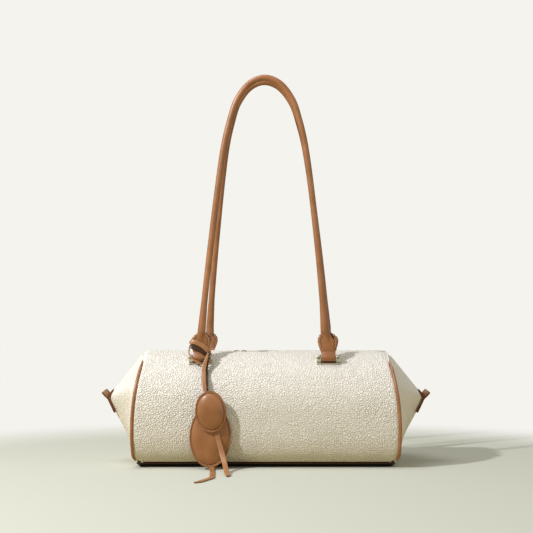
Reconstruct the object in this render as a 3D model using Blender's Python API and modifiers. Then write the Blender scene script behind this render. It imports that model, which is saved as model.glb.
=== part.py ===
"""A baguette bag in pebbled and smooth leather: a rounded barrel with gusseted ends, a zip along the crest,
two rolled handles on metal bars, and a charm of two stitched ovals on a lace.

Metres, +Z up, the front towards -Y. The origin is on the surface the bag stands on, under its middle.
"""

import math

import bmesh
import bpy
from mathutils import Matrix, Vector

# Driving sizes, in metres. Whatever fits another piece is worked out from these.
GAP = 0.0003  # between pieces that touch

# Barrel: half depth, half height of its section, and the height of the section's widest line
HALF_DEPTH = 0.058
HALF_HEIGHT = 0.0584
WIDEST_Z = 0.054
TOP_ROUNDNESS = 2.1
LOWER_ROUNDNESS = 3.2
# Each panel crests beside the zip, which lies in a shallow valley between them
CREST_HALF = 0.018
VALLEY_DEPTH = 0.0083
LEATHER = 0.0016
ZIP_MOUTH = 0.008
PANEL_BOTTOM = 0.0055

# End seams: the barrel is longest at one height and shortens towards top and bottom
SEAM_X = 0.130
SEAM_WIDEST_Z = 0.038
SEAM_SHORTEST_X = 0.1202
SEAM_BEND_UP = 0.4444444444
SEAM_BEND_DOWN = 0.25
PIPING_RADIUS = 0.0017
PIPING_SUNK_SHARE = 0.35
PIPING_START_DROP = 0.004
PIPING_START_SHARE = 0.45

# Gussets: the side view of one end, from the crest down to the base
TIP_X = 0.156
TIP_Z = 0.064
LOWER_SLOPE = (
    (0.1495, 0.0468), (0.1445, 0.0385), (0.1410, 0.0320),
    (0.1383, 0.0260), (0.1365, 0.0200), (0.1352, 0.0130),
)
NOSE_DEPTH = 0.0018

# Base
BASE_THICKNESS = 0.0018
BASE_FLAT_HALF = 0.028
BASE_RISE = 0.0034
BASE_END_BULGE = 0.003
BOARD_THICKNESS = 0.002
BOARD_HALF_X = SEAM_SHORTEST_X - 0.0062
BOARD_EDGE = 0.0005

# End tabs
TAB_WIDTH = 0.015
TAB_LEATHER = 0.0015
TAB_UPPER_LEG = 0.009
TAB_LOWER_LEG = 0.017
TAB_STUB_LENGTH = 0.0065
TAB_STUB_THICKNESS = 0.0052
TAB_STUB_LEAN = 0.25
TAB_STUB_SET_BACK = 0.0035
TAB_STUB_FOOT = 0.001
TAB_FOLD = 0.002

# Lining
LINING_THICKNESS = 0.0008
LINING_HALF_X = SEAM_SHORTEST_X - 0.0042
LINING_MOUTH = 0.020
LINING_SIDE_FOOT = 0.004
# The lining's bottom corner and floor, as shares of the half width where its side ends
LINING_CORNER = 0.93
LINING_FLOOR = (0.84, 0.4)
# How the lining closes beyond its straight run: the distance past it and the section's size there
LINING_END = ((0.007, 0.84), (0.012, 0.60))

# Zip
TAPE_THICKNESS = 0.0008
TAPE_WIDTH = 0.0075
TAPE_FALL = 0.0024
TEETH_WIDTH = 0.0023
TEETH_HEIGHT = 0.0016
TAPE_EDGE_SHARE = 0.35  # of a tooth's width, where its tape begins
ZIP_CORNER_RUN = 0.006
ZIP_CORNER_SHARE = 0.35
ZIP_END_MARGIN = 0.012
SLIDER_LENGTH = 0.007
SLIDER_WALL = 0.0008
SLIDER_SKIRT_SHARE = 0.7  # of the teeth's height
SLIDER_MEET_X = -0.0258
BRIDGE_WIDTH = 0.0014
BRIDGE_WALL = 0.0009
BRIDGE_LENGTH = 0.0056
EYE_HALF = 0.0011
PULL_LENGTH = 0.018
PULL_WIDTH = 0.0048
PULL_THICKNESS = 0.0010
PULL_CORNER = 0.0012
PULL_CROSS_BAR = 0.0010
PULL_HOLE_LENGTH = 0.0042
CUTTER_HEIGHT = 0.02

# Hardware for the handles
BRACKET_Y = 0.035
BRACKET_WIDTH = 0.023
BRACKET_DEPTH = 0.008
BRACKET_PLATE = 0.0012
BAR_HEIGHT = 0.0052
BAR_RADIUS = 0.0017
POST_WIDTH = 0.0043
POST_HEAD_RADIUS = 0.0028
POST_DEPTH = 0.0046
BAR_STANDS_OUT = 0.0002
METAL_EDGE = 0.0003

# Handles
HANDLE_RADIUS = 0.0031
HANDLE_WALL = 0.0012
CORE_RADIUS = 0.0016
HANDLE_HALF_SPREAD = 0.0625
HANDLE_LEAN = math.radians(4.3)
HANDLE_SHIFT = {"front": -0.0016, "back": 0.0030}
# How far each soft arch sways along the bag, at its feet and at its top
HANDLE_SWAY = {"front": (-0.0017, 0.0004), "back": (0.0, -0.0044)}
STRAP_WIDTH = 0.0136
STRAP_THICKNESS = 0.0036
STRAP_LOOP_WALL = 0.0015
LEAF_HALF_WIDTH = 0.0095
LEAF_TOP = 0.0250
LEAF_LEAN_LOW = 0.4
# Half the arch, as its distance from the middle and its height above the bar
ARCH = (
    (0.0600, 0.0270), (0.0577, 0.0560), (0.0539, 0.0960), (0.0496, 0.1350),
    (0.0461, 0.1650), (0.0423, 0.1940), (0.0388, 0.2150), (0.0342, 0.2340),
    (0.0275, 0.2540), (0.0152, 0.2703), (0.0, 0.2762),
)

# Lace and charm
LACE_RADIUS = 0.0011
WRAP_HALF_LENGTH = 0.0137
WRAP_HALF_DEPTH = 0.0038
WRAP_CENTRE = 0.012
WRAP_TILT = math.radians(31)
RING_SLACK_ALONG = 0.0006
RING_SLACK_ACROSS = 0.0029
HANGER_WIDTH = 0.0062
HANGER_THICKNESS = 0.0026
SMALL_OVAL = (0.0148, 0.0200)
SMALL_OVAL_CENTRE = (-0.0529, 0.0562)
SMALL_OVAL_THICKNESS = 0.0050
SMALL_OVAL_TILT = math.radians(-5.7)
LARGE_OVAL = (0.0200, 0.0300)
LARGE_OVAL_CENTRE = (-0.0535, 0.0319)
LARGE_OVAL_THICKNESS = 0.0042
LARGE_OVAL_TILT = math.radians(1.9)
OVAL_RIM_SHARE = 0.55
OVAL_DOME_POWER = 2.5
TAIL_WIDTH = 0.0040
TAIL_THICKNESS = 0.0012
# The hanger and the tails: each place along the bag, how far it stands out past the widest line, and its height.
# The tails' tops lie against the large oval.
HANGER_PATH = (
    (-0.0590, -0.0134, 0.0985), (-0.0575, -0.0075, 0.0895),
    (-0.0560, 0.0005, 0.0830), (-0.0545, 0.0070, 0.0760),
)
FRONT_TAIL_PATH = (
    (-0.0474, 0.0057, 0.0362), (-0.0466, 0.0057, 0.0280), (-0.0450, 0.0070, 0.0170),
    (-0.0415, 0.0150, 0.0070), (-0.0360, 0.0340, 0.0012),
)
FLOOR_TAIL_PATH = (
    (-0.0532, 0.0010, 0.0009), (-0.0526, 0.0140, 0.0009), (-0.0508, 0.0350, 0.0009),
    (-0.0500, 0.0540, 0.0009), (-0.0555, 0.0750, 0.0009), (-0.0636, 0.0910, 0.0009),
)

IVORY = (0.78, 0.74, 0.64, 1.0)
TAN = (0.36, 0.155, 0.065, 1.0)
TAN_DARK = (0.22, 0.085, 0.035, 1.0)
SILVER = (0.62, 0.60, 0.56, 1.0)
CLOTH = (0.55, 0.50, 0.42, 1.0)
BOARD = (0.30, 0.27, 0.22, 1.0)

bag = None
cutters = None


def clear_scene():
    for old in list(bpy.data.objects):
        bpy.data.objects.remove(old, do_unlink=True)


def new_collection(name):
    made = bpy.data.collections.new(name)
    bpy.context.scene.collection.children.link(made)
    return made


def finish(obj, colour, roughness, metallic=0.0):
    """Gives a piece a material of its own."""
    material = bpy.data.materials.new(obj.name + "_material")
    material.use_nodes = True
    shader = material.node_tree.nodes["Principled BSDF"]
    shader.inputs["Base Color"].default_value = colour
    shader.inputs["Roughness"].default_value = roughness
    shader.inputs["Metallic"].default_value = metallic
    obj.data.materials.clear()
    obj.data.materials.append(material)
    return obj


def mesh_object(name, bm, smooth=True, collection=None):
    """Turns a bmesh into an object of the bag."""
    mesh = bpy.data.meshes.new(name)
    bm.to_mesh(mesh)
    bm.free()
    if smooth:
        mesh.shade_smooth()
        mesh.set_sharp_from_angle(angle=math.radians(35))
    obj = bpy.data.objects.new(name, mesh)
    (collection or bag).objects.link(obj)
    return obj


def lofted(name, rows, thickness, smooth=True):
    """An open surface through rows of points, turned outwards, with a wall grown inwards."""
    bm = bmesh.new()
    grid = [[bm.verts.new(p) for p in row] for row in rows]
    for upper, lower in zip(grid, grid[1:]):
        for k in range(min(len(upper), len(lower)) - 1):
            bm.faces.new((upper[k], upper[k + 1], lower[k + 1], lower[k]))
    obj = mesh_object(name, bm, smooth)
    wall = obj.modifiers.new("Wall", "SOLIDIFY")
    wall.thickness = thickness
    wall.offset = -1
    wall.use_even_offset = True
    return obj


def boolean(obj, other, operation):
    cut = obj.modifiers.new(operation.title(), "BOOLEAN")
    cut.operation = operation
    cut.solver = "EXACT"
    cut.object = other
    other.hide_render = True
    other.display_type = "WIRE"


def cylinder_x(name, radius, length, centre, sides=16, collection=None):
    """A round bar along X."""
    bm = bmesh.new()
    bmesh.ops.create_cone(
        bm, cap_ends=True, segments=sides, radius1=radius, radius2=radius, depth=length,
        matrix=Matrix.Translation(centre) @ Matrix.Rotation(math.pi / 2, 4, "Y"),
    )
    return mesh_object(name, bm, True, collection)


def box(name, size, centre, bevel=0.0, collection=None):
    bm = bmesh.new()
    bmesh.ops.create_cube(bm, size=1.0, matrix=Matrix.Translation(centre) @ Matrix.Diagonal((*size, 1.0)))
    if bevel:
        bmesh.ops.bevel(
            bm, geom=bm.edges[:], offset=bevel, segments=1, profile=0.5, affect="EDGES", material=-1
        )
    return mesh_object(name, bm, False, collection)


def outline_plate(name, points, thickness):
    """A flat outline in the XZ plane, thick along Y, as a mesh."""
    curve = bpy.data.curves.new(name, "CURVE")
    curve.dimensions = "2D"
    curve.fill_mode = "BOTH"
    curve.extrude = thickness / 2
    spline = curve.splines.new("POLY")
    spline.points.add(len(points) - 1)
    for place, (x, z) in zip(spline.points, points):
        place.co = (x, z, 0, 1)
    spline.use_cyclic_u = True
    return welded(name, curve, Matrix.Rotation(math.pi / 2, 4, "X"))


def welded(name, curve, matrix=None):
    """The mesh that a curve draws, with its caps joined, as an object of the bag."""
    guide = bpy.data.objects.new(name + "_curve", curve)
    bag.objects.link(guide)
    if matrix is not None:
        guide.matrix_world = matrix
    bpy.context.view_layer.update()
    mesh = bpy.data.meshes.new_from_object(guide.evaluated_get(bpy.context.evaluated_depsgraph_get()))
    bm = bmesh.new()
    bm.from_mesh(mesh)
    bmesh.ops.transform(bm, matrix=guide.matrix_world, verts=bm.verts[:])
    bmesh.ops.remove_doubles(bm, verts=bm.verts[:], dist=0.00002)
    bmesh.ops.recalc_face_normals(bm, faces=bm.faces[:])
    bpy.data.objects.remove(guide, do_unlink=True)
    bpy.data.meshes.remove(mesh)
    return mesh_object(name, bm)


def tube(name, points, radius, resolution=2, caps=True, closed=False, radii=None):
    """A round tube along points, on a straight-run spline."""
    curve = bpy.data.curves.new(name, "CURVE")
    curve.dimensions = "3D"
    curve.bevel_depth = radius
    curve.bevel_resolution = resolution
    curve.use_fill_caps = caps and not closed
    spline = curve.splines.new("POLY")
    spline.points.add(len(points) - 1)
    for k, (place, p) in enumerate(zip(spline.points, points)):
        place.co = (*p, 1)
        place.radius = radii[k] if radii else 1.0
    spline.use_cyclic_u = closed
    return welded(name, curve)


def through(points, steps):
    """A smooth curve through the given points, as a list of points along it."""
    p = [Vector(q) for q in points]
    p = [2 * p[0] - p[1], *p, 2 * p[-1] - p[-2]]
    found = []
    for a, b, c, d in zip(p, p[1:], p[2:], p[3:]):
        for k in range(steps):
            t = k / steps
            bend = (2 * a - 5 * b + 4 * c - d) * t**2
            twist = (3 * b - a - 3 * c + d) * t**3
            found.append((2 * b + (c - a) * t + bend + twist) / 2)
    found.append(p[-2])
    return found


def section(angle, inset=0.0):
    """A point (y, z) of the barrel's front half: 90 degrees is the crest, 0 the widest line."""
    power = 2 / (TOP_ROUNDNESS if angle >= 0 else LOWER_ROUNDNESS)
    y = -(HALF_DEPTH - inset) * abs(math.cos(angle)) ** power
    z = (HALF_HEIGHT - inset) * abs(math.sin(angle)) ** power
    valley = VALLEY_DEPTH * max(0.0, 1 + y / CREST_HALF) ** 2 if angle > 0 else 0.0
    return y, WIDEST_Z + math.copysign(z, angle) - valley


def angle_at_height(z, inset=0.0):
    power = (TOP_ROUNDNESS if z >= WIDEST_Z else LOWER_ROUNDNESS) / 2
    share = min(1.0, abs(z - WIDEST_Z) / (HALF_HEIGHT - inset))
    return math.copysign(math.asin(share**power), z - WIDEST_Z)


def angle_at_depth(y, inset=0.0):
    """The angle on the upper half at which the section is this far from the middle."""
    return math.acos(min(1.0, abs(y) / (HALF_DEPTH - inset)) ** (TOP_ROUNDNESS / 2))


def seam_x(z):
    """How far out the end seam runs at a height."""
    bend = SEAM_BEND_UP if z > SEAM_WIDEST_Z else SEAM_BEND_DOWN
    return max(SEAM_SHORTEST_X, SEAM_X - (z - SEAM_WIDEST_Z) ** 2 / bend)


def section_angles(count, first, last):
    return [first + (last - first) * k / count for k in range(count + 1)]


TOP_ANGLE = angle_at_depth(ZIP_MOUTH / 2)
BOTTOM_ANGLE = angle_at_height(PANEL_BOTTOM)
MOUTH_Z = section(TOP_ANGLE)[1]
BASE_EDGE_Y = -section(BOTTOM_ANGLE)[0]
SEAM_CLEARANCE = PIPING_RADIUS + GAP
GUSSET_TURN = 0.9 * LEATHER
TAPE_DROP = LEATHER + GAP
TEETH_TOP_DROP = TAPE_DROP - TEETH_HEIGHT - GAP


def base_under(y):
    """The height of the base's underside: flat in the middle, curved up to its edge."""
    past = max(0.0, abs(y) - BASE_FLAT_HALF) / (BASE_EDGE_Y - BASE_FLAT_HALF)
    return BASE_RISE * past**2


def base_end(y):
    return seam_x(PANEL_BOTTOM) + BASE_END_BULGE * (1 - (y / BASE_EDGE_Y) ** 2)


def make_panels():
    """Front and back: one hide each from the zip down to the base, its ends cut to the seam."""
    columns, rows = 12, 16
    for name, side in (("front_panel", -1), ("back_panel", 1)):
        grid = []
        for angle in section_angles(rows, TOP_ANGLE, BOTTOM_ANGLE):
            y, z = section(angle)
            half = seam_x(z) - SEAM_CLEARANCE
            xs = [half * (2 * k / columns - 1) for k in range(columns + 1)]
            grid.append([(x * -side, -y * side, z) for x in xs])
        grid = [list(reversed(row)) for row in grid]
        finish(lofted(name, grid, LEATHER), IVORY, 0.5)


def make_base():
    """The smooth leather base, sagging to a flat middle that the bag stands on."""
    columns, steps = 14, 3
    edge = BASE_EDGE_Y - GAP
    rising = [BASE_FLAT_HALF + (edge - BASE_FLAT_HALF) * k / steps for k in range(steps + 1)]
    grid = []
    for y in [-y for y in reversed(rising)] + [0] + rising:
        half = base_end(y)
        grid.append([(half * (1 - 2 * k / columns), y, base_under(y)) for k in range(columns + 1)])
    finish(lofted("base_panel", grid, BASE_THICKNESS), TAN_DARK, 0.5)


def make_base_board():
    """The stiff board that keeps the base flat, loose between the base and the lining."""
    z = BASE_THICKNESS + GAP + BOARD_THICKNESS / 2
    size = (2 * BOARD_HALF_X, 2 * (BASE_FLAT_HALF - GAP), BOARD_THICKNESS)
    finish(box("base_board", size, (0, 0, z), BOARD_EDGE), BOARD, 0.9)


def ridge():
    """The side view of one end as (x, z, on the zip) from the crest corner over the tip to the base."""
    corner = (SEAM_SHORTEST_X + SEAM_CLEARANCE + GUSSET_TURN, MOUTH_Z)
    steps = 6
    found = []
    for k in range(steps + 1):
        t = k / steps
        found.append((corner[0] + (TIP_X - corner[0]) * t, corner[1] + (TIP_Z - corner[1]) * t, True))
    found += [(x, z, False) for x, z in LOWER_SLOPE]
    return found


def make_gussets():
    """Each end: one hide from the piped seam out to a folded nose, open along the zip."""
    columns = 6
    mouth = ZIP_MOUTH / 2
    for name, side in (("end_gusset_left", -1), ("end_gusset_right", 1)):
        outline = ridge()
        last = len(outline)
        rows = []
        for k, (rx, rz, on_zip) in enumerate(outline):
            angle = TOP_ANGLE + (BOTTOM_ANGLE - TOP_ANGLE) * k / last
            y, z = section(angle)
            start = Vector((seam_x(z) + SEAM_CLEARANCE + GUSSET_TURN, y, z))
            nose = 0.0 if on_zip else NOSE_DEPTH
            end = Vector((rx - nose, -mouth, rz))
            row = [start.lerp(end, s / columns) for s in range(columns + 1)]
            if not on_zip or rx == TIP_X:
                row.append(Vector((rx, 0, rz)))
            rows.append(row)
        y, z = section(BOTTOM_ANGLE)
        bottom = []
        for s in range(columns + 2):
            across = -mouth if s == columns else y * (1 - s / columns) if s < columns else 0.0
            lift = BASE_THICKNESS + 1.3 * GAP
            past_base = (SEAM_CLEARANCE + GUSSET_TURN) * (1 - s / (columns + 1))
            bottom.append(Vector((base_end(across) + past_base, across, base_under(across) + lift)))
        rows.append(bottom)
        bm = bmesh.new()
        grid = [[bm.verts.new((side * p.x, p.y, p.z)) for p in row] for row in rows]
        for upper, lower in zip(grid, grid[1:]):
            for s in range(min(len(upper), len(lower)) - 1):
                bm.faces.new((upper[s], upper[s + 1], lower[s + 1], lower[s]))
        half = bm.verts[:] + bm.edges[:] + bm.faces[:]
        bmesh.ops.mirror(bm, geom=half, axis="Y", merge_dist=0.00005)
        bmesh.ops.remove_doubles(bm, verts=bm.verts[:], dist=0.00005)
        bmesh.ops.recalc_face_normals(bm, faces=bm.faces[:])
        outwards = sum(f.normal.x * f.calc_area() for f in bm.faces) * side > 0
        if not outwards:
            bmesh.ops.reverse_faces(bm, faces=bm.faces[:])
        gusset = mesh_object(name, bm)
        wall = gusset.modifiers.new("Wall", "SOLIDIFY")
        wall.thickness = LEATHER
        wall.offset = -1
        finish(gusset, IVORY, 0.5)


def make_piping():
    """Four runs of covered cord in the end seams, thin at the top where they start."""
    count = 16
    start = angle_at_height(MOUTH_Z - PIPING_START_DROP)
    end_angle = angle_at_height(PANEL_BOTTOM + PIPING_RADIUS)
    for end, x_side in (("left", -1), ("right", 1)):
        for face, y_side in (("front", 1), ("back", -1)):
            points, radii = [], []
            for k, angle in enumerate(section_angles(count, start, end_angle)):
                y, z = section(angle, PIPING_RADIUS * PIPING_SUNK_SHARE)
                points.append((x_side * seam_x(z), y_side * y, z))
                radii.append(min(1.0, PIPING_START_SHARE + k * 0.2))
            name = f"piping_{end}_{face}"
            finish(tube(name, points, PIPING_RADIUS, 2, radii=radii), TAN, 0.45)


def make_end_tabs():
    """A strip of leather folded over each tip, its doubled end standing out."""
    corner = Vector((SEAM_SHORTEST_X + SEAM_CLEARANCE, MOUTH_Z))
    tip = Vector((TIP_X, TIP_Z))
    up = (corner - tip).normalized()
    down = (Vector(LOWER_SLOPE[0]) - tip).normalized()
    off_up, off_down = Vector((-up.y, up.x)), Vector((-down.y, down.x))
    off_up *= 1 if off_up.x > 0 else -1
    off_down *= 1 if off_down.x > 0 else -1
    out = (off_up + Vector((0, TAB_STUB_LEAN))).normalized()
    across = Vector((out.y, -out.x))
    inner_gap, outer_gap = 1.2 * GAP, 1.2 * GAP + TAB_LEATHER
    root = tip + off_up * outer_gap + up * TAB_STUB_SET_BACK
    outline = [
        tip + up * TAB_UPPER_LEG + off_up * inner_gap,
        tip + up * TAB_UPPER_LEG + off_up * outer_gap,
        root,
        root + out * TAB_STUB_LENGTH,
        root + out * TAB_STUB_LENGTH + across * TAB_STUB_THICKNESS,
        root + out * TAB_STUB_FOOT + across * TAB_STUB_THICKNESS,
        tip + off_down * outer_gap + down * TAB_FOLD,
        tip + off_down * outer_gap + down * TAB_LOWER_LEG,
        tip + off_down * inner_gap + down * TAB_LOWER_LEG,
        tip + (off_up + off_down).normalized() * 1.5 * inner_gap,
    ]
    for name, side in (("end_tab_left", -1), ("end_tab_right", 1)):
        points = [(side * p.x, p.y) for p in outline]
        finish(outline_plate(name, points, TAB_WIDTH), TAN, 0.45)


def zip_line(drop=0.0):
    """The zip's way in side view, from one tip over the crest to the other, a little below the leather."""
    corner = Vector((SEAM_SHORTEST_X + SEAM_CLEARANCE, MOUTH_Z))
    tip = Vector((TIP_X, TIP_Z))
    slope = (tip - corner).normalized()
    inward = Vector((slope.y, -slope.x))
    end = tip - slope * ZIP_END_MARGIN + inward * drop
    level = MOUTH_Z - drop
    turn_x = corner.x - drop * math.tan(math.acos(slope.x) / 2)
    turn = Vector((turn_x, level))
    half = [end, turn + slope * ZIP_CORNER_RUN, turn + slope * ZIP_CORNER_SHARE * ZIP_CORNER_RUN]
    half += [turn - Vector((ZIP_CORNER_SHARE * ZIP_CORNER_RUN, 0)), turn - Vector((ZIP_CORNER_RUN, 0))]
    inner = [Vector((turn.x * share, level)) for share in (0.6, 0.3, 0.0)]
    right = half + inner
    left = [Vector((-p.x, p.y)) for p in reversed(right[:-1])]
    return right + left


def strip(name, lines, colour, roughness):
    """A solid run: each line is one of its long edges, given in turn round its section."""
    bm = bmesh.new()
    rings = [[bm.verts.new(p) for p in ring] for ring in zip(*lines)]
    sides = len(lines)
    for near, far in zip(rings, rings[1:]):
        for s in range(sides):
            bm.faces.new((near[s], near[(s + 1) % sides], far[(s + 1) % sides], far[s]))
    bm.faces.new(reversed(rings[0]))
    bm.faces.new(rings[-1])
    bmesh.ops.recalc_face_normals(bm, faces=bm.faces[:])
    return finish(mesh_object(name, bm, False), colour, roughness)


def along(y, drop):
    return [(p.x, y, p.y) for p in zip_line(drop)]


def make_zip():
    """Two woven tapes under the leather's edges, each with its row of teeth on top."""
    inner = TEETH_WIDTH * TAPE_EDGE_SHARE
    for name, side in (("front", -1), ("back", 1)):
        y0, y1 = side * inner, side * (inner + TAPE_WIDTH)
        lines = [
            along(y0, TAPE_DROP), along(y1, TAPE_DROP + TAPE_FALL),
            along(y1, TAPE_DROP + TAPE_FALL + TAPE_THICKNESS), along(y0, TAPE_DROP + TAPE_THICKNESS),
        ]
        strip(f"zip_tape_{name}", lines, CLOTH, 0.85)
        near, far = side * GAP / 2, side * (GAP / 2 + TEETH_WIDTH)
        base = TAPE_DROP - GAP
        lines = [along(near, TEETH_TOP_DROP), along(far, TEETH_TOP_DROP), along(far, base), along(near, base)]
        strip(f"zip_teeth_{name}", lines, SILVER, 0.35)


def make_sliders():
    """Two sliders that meet: each a channel over the teeth with a bridge that carries its pull."""
    teeth_top = MOUTH_Z - TEETH_TOP_DROP
    half_width = TEETH_WIDTH + GAP / 2 + GAP + SLIDER_WALL
    skirt = TEETH_HEIGHT * SLIDER_SKIRT_SHARE
    for name, side in (("left", -1), ("right", 1)):
        x = SLIDER_MEET_X + side * (SLIDER_LENGTH + GAP * 1.5) / 2
        top = teeth_top + GAP + SLIDER_WALL
        body = box(
            f"zip_slider_{name}", (SLIDER_LENGTH, 2 * half_width, SLIDER_WALL + GAP + skirt),
            (x, 0, top - (SLIDER_WALL + GAP + skirt) / 2), METAL_EDGE,
        )
        channel = box(
            f"slider_channel_{name}", (SLIDER_LENGTH * 2, 2 * (half_width - SLIDER_WALL), CUTTER_HEIGHT),
            (x, 0, teeth_top + GAP - CUTTER_HEIGHT / 2), 0, cutters,
        )
        boolean(body, channel, "DIFFERENCE")
        height = 2 * EYE_HALF + BRIDGE_WALL
        sunk = SLIDER_WALL / 4
        bridge = box(
            f"slider_bridge_{name}", (BRIDGE_LENGTH, BRIDGE_WIDTH, height + sunk),
            (x, 0, top + (height - sunk) / 2), METAL_EDGE, cutters,
        )
        boolean(body, bridge, "UNION")
        eye = box(
            f"slider_eye_{name}", (BRIDGE_LENGTH - 2 * BRIDGE_WALL, SLIDER_LENGTH, 2 * EYE_HALF),
            (x, 0, top + EYE_HALF), 0, cutters,
        )
        boolean(body, eye, "DIFFERENCE")
        finish(body, SILVER, 0.25, 1.0)
        make_pull(name, side, x, top + EYE_HALF)


def make_pull(name, side, x, z):
    """A tongue along the zip whose slotted end straddles the bridge, its cross bar under the bridge."""
    half = PULL_WIDTH / 2
    near = -PULL_CROSS_BAR / 2
    far = PULL_LENGTH - PULL_CORNER
    outline = [
        (-half, near), (half, near), (half, far), (half - PULL_CORNER, PULL_LENGTH),
        (PULL_CORNER - half, PULL_LENGTH), (-half, far),
    ]
    pull = outline_plate(f"zip_pull_{name}", outline, PULL_THICKNESS)
    slot = box(
        f"pull_slot_{name}", (BRIDGE_WIDTH + 2.4 * GAP, SLIDER_LENGTH, PULL_HOLE_LENGTH),
        (0, 0, PULL_CROSS_BAR / 2 + PULL_HOLE_LENGTH / 2), 0, cutters,
    )
    for piece in (pull, slot):
        piece.matrix_world = Matrix.Translation((x, 0, z)) @ lying(side)
    boolean(pull, slot, "DIFFERENCE")
    finish(pull, SILVER, 0.25, 1.0)


def lying(side):
    """Turns a piece that stands up along Z, flat in XZ, so that it lies along the bag to one side."""
    along_bag, across, up = Vector((side, 0, 0)), Vector((0, 1, 0)), Vector((0, 0, side))
    return Matrix((across, up, along_bag)).transposed().to_4x4()


def surface_frame(y_side):
    """The matrix that stands a bracket on the barrel: X along the bag, Z out of the leather."""
    angle = angle_at_depth(BRACKET_Y)
    y, z = section(angle)
    y_next, z_next = section(angle - 0.01)
    tangent = Vector((0, y_next - y, z_next - z)).normalized()
    normal = Vector((0, tangent.z, -tangent.y))
    normal *= 1 if normal.z > 0 else -1
    if y_side > 0:
        y, normal = -y, Vector((0, -normal.y, normal.z))
    x_axis = Vector((1, 0, 0))
    y_axis = normal.cross(x_axis)
    turned = Matrix((x_axis, y_axis, normal)).transposed().to_4x4()
    return Matrix.Translation((0, y, z)) @ turned


def bar_place(face):
    """Where a handle's bars lie in (y, z)."""
    spot = surface_frame(-1 if face == "front" else 1) @ Vector((0, 0, GAP + BAR_HEIGHT))
    return spot.y, spot.z


def foot_x(face, end):
    return HANDLE_SHIFT[face] + HANDLE_HALF_SPREAD * (-1 if end == "left" else 1)


def make_hardware():
    """Four brackets screwed through the leather, each with a bar between its two posts."""
    for face, y_side in (("front", -1), ("back", 1)):
        for end in ("left", "right"):
            x = foot_x(face, end)
            frame = Matrix.Translation((x, 0, 0)) @ surface_frame(y_side)
            name = f"handle_bracket_{face}_{end}"
            size = (BRACKET_WIDTH, BRACKET_DEPTH, BRACKET_PLATE)
            plate = box(name, size, (0, 0, GAP + BRACKET_PLATE / 2), METAL_EDGE)
            bar_z = GAP + BAR_HEIGHT
            for side in (-1, 1):
                post_x = side * (BRACKET_WIDTH - POST_WIDTH) / 2
                foot = GAP + BRACKET_PLATE / 2
                leg = box(
                    f"{name}_leg_{side}", (POST_WIDTH * 0.998, POST_DEPTH, bar_z - foot),
                    (post_x, 0, (bar_z + foot) / 2), 0, cutters,
                )
                centre = (post_x, 0, bar_z)
                head = cylinder_x(f"{name}_head_{side}", POST_HEAD_RADIUS, POST_WIDTH, centre, 16, cutters)
                for piece in (leg, head):
                    piece.matrix_world = frame
                    boolean(plate, piece, "UNION")
            bore = cylinder_x(f"{name}_bore", BAR_RADIUS + GAP, 2 * BRACKET_WIDTH, (0, 0, bar_z), 12, cutters)
            bore.matrix_world = frame
            boolean(plate, bore, "DIFFERENCE")
            plate.matrix_world = frame
            finish(plate, SILVER, 0.25, 1.0)
            length = BRACKET_WIDTH + 2 * BAR_STANDS_OUT
            bar = cylinder_x(f"handle_bar_{face}_{end}", BAR_RADIUS, length, (0, 0, bar_z), 12)
            bar.matrix_world = frame
            finish(bar, SILVER, 0.2, 1.0)


def arch_line(face):
    """A handle's arch as points in its own plane, from the right foot over the top to the left one."""
    low, high = HANDLE_SWAY[face]
    sides = []
    for side in (1, -1):
        line = []
        for w, h in ARCH:
            share = h / ARCH[-1][1]
            sway = low * (1 - share) ** 3 + high * share
            line.append(Vector((HANDLE_SHIFT[face] + sway + side * w, 0, h)))
        sides.append(line)
    return sides[0] + list(reversed(sides[1][:-1]))


def leaf_outline(lean):
    """The flat handle end round its foot: half widths at heights, leaning over to where its tube starts."""
    strap = STRAP_WIDTH / 2
    right = [
        (strap, 0.0), (strap, 0.14 * LEAF_TOP), (0.81 * LEAF_HALF_WIDTH, 0.288 * LEAF_TOP),
        (0.93 * LEAF_HALF_WIDTH, 0.432 * LEAF_TOP), (LEAF_HALF_WIDTH, 0.6 * LEAF_TOP),
        (0.93 * LEAF_HALF_WIDTH, 0.744 * LEAF_TOP), (0.70 * LEAF_HALF_WIDTH, 0.88 * LEAF_TOP),
        (1.15 * HANDLE_RADIUS, 0.97 * LEAF_TOP), (HANDLE_RADIUS, LEAF_TOP),
    ]
    outline = []
    for w, h in right + [(-w, h) for w, h in reversed(right)]:
        share = h / LEAF_TOP
        outline.append((w + lean * (LEAF_LEAN_LOW * share + (1 - LEAF_LEAN_LOW) * share**6), h))
    return outline


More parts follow.
